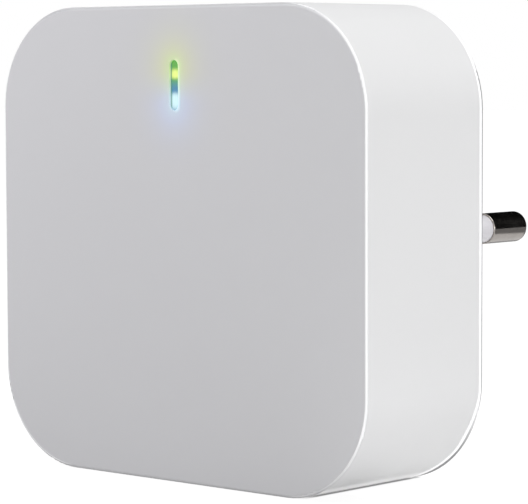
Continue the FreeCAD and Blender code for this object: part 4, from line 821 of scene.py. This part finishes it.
def make_lamp(name, turn, rise, distance, size, power, colour=(1.0, 1.0, 1.0), size_up=None, mirrored=True):
    """A soft studio lamp that looks at the object from the given direction."""
    lamp = bpy.data.lights.new(name, "AREA")
    lamp.energy = power
    lamp.color = colour
    lamp.shape = "RECTANGLE"
    lamp.size = size
    lamp.size_y = size_up or size
    holder = bpy.data.objects.new(name, lamp)
    bpy.context.scene.collection.objects.link(holder)
    way = direction(turn, rise)
    holder.location = CAMERA_AIM + way * distance
    holder.rotation_euler = way.to_track_quat("Z", "Y").to_euler()
    holder.visible_glossy = mirrored


def make_card(name, corners, grey, mirrored):
    """A studio card that the camera doesn't see: it works in mirroring faces only, or in soft light only."""
    mesh = bpy.data.meshes.new(name)
    mesh.from_pydata(corners, [], [(0, 1, 2, 3)])
    card = bpy.data.objects.new(name, mesh)
    bpy.context.scene.collection.objects.link(card)
    material, tree, shader = new_finish(name)
    put(tree, shader["Base Color"], (grey, grey, grey, 1.0))
    put(tree, shader["Roughness"], 1.0)
    shader["Specular IOR Level"].default_value = 0.0
    mesh.materials.append(material)
    card.visible_camera = False
    card.visible_shadow = False
    card.visible_transmission = False
    card.visible_glossy = mirrored
    card.visible_diffuse = not mirrored


def floor_corners(left, right, near, far):
    """The corners of a rectangular card that lies on the floor."""
    return [(left, near, CARD_LEVEL), (right, near, CARD_LEVEL), (right, far, CARD_LEVEL),
            (left, far, CARD_LEVEL)]


def make_camera():
    camera = bpy.data.cameras.new("camera")
    camera.sensor_fit = "HORIZONTAL"
    camera.sensor_width = CAMERA_SENSOR
    camera.lens = CAMERA_LENS
    camera.clip_start = 0.01
    camera.clip_end = 20.0
    holder = bpy.data.objects.new("camera", camera)
    bpy.context.scene.collection.objects.link(holder)
    turn = (Matrix.Rotation(CAMERA_TURN, 4, "Z") @ Matrix.Rotation(math.pi / 2 - CAMERA_RISE, 4, "X")
            @ Matrix.Rotation(CAMERA_ROLL, 4, "Z"))
    back = turn.to_3x3() @ Vector((0.0, 0.0, 1.0))
    holder.matrix_world = Matrix.Translation(CAMERA_AIM + back * CAMERA_DISTANCE) @ turn
    bpy.context.scene.camera = holder


make_sky()
make_floor()
make_card("black_card", [(-0.45, 0.3, -0.015), (0.6, 0.3, -0.015), (0.6, 0.3, 0.6), (-0.45, 0.3, 0.6)],
          0.004, True)
# Painted shade: grey cards on the floor behind the object, seen only in mirroring faces, stand for the
# floor's shadow there.
make_card("mirrored_floor_shade_card", floor_corners(-0.3, -0.008, 0.05, 0.28), 0.5, True)
make_card("far_mirrored_floor_shade_card", floor_corners(-0.008, 0.5, 0.065, 0.28), 0.35, True)
make_card("grey_card", [(-0.25, -0.34, CARD_LEVEL), (0.06, -0.34, CARD_LEVEL), (0.029, -0.03, CARD_LEVEL),
                        (-0.25, -0.03, CARD_LEVEL)], 0.48, False)
make_lamp("high_right_lamp", 0.0, 66.0, 0.55, 0.35, 1.46)
make_lamp("low_right_lamp", 5.0, 8.0, 0.8, 0.5, 1.3, size_up=0.12)
make_lamp("front_left_lamp", 125.0, 30.0, 0.22, 0.08, 0.115, (0.94, 0.925, 1.0))
make_lamp("camera_side_lamp", 50.0, 12.0, 0.8, 0.12, 0.2, (0.975, 0.965, 1.0))
make_lamp("rear_right_lamp", -70.0, 6.0, 0.8, 0.05, 0.3, size_up=0.8)
make_lamp("rear_lamp", -90.0, 20.0, 0.6, 0.2, 0.95, mirrored=False)
make_camera()
bpy.context.scene.view_settings.view_transform = "Standard"
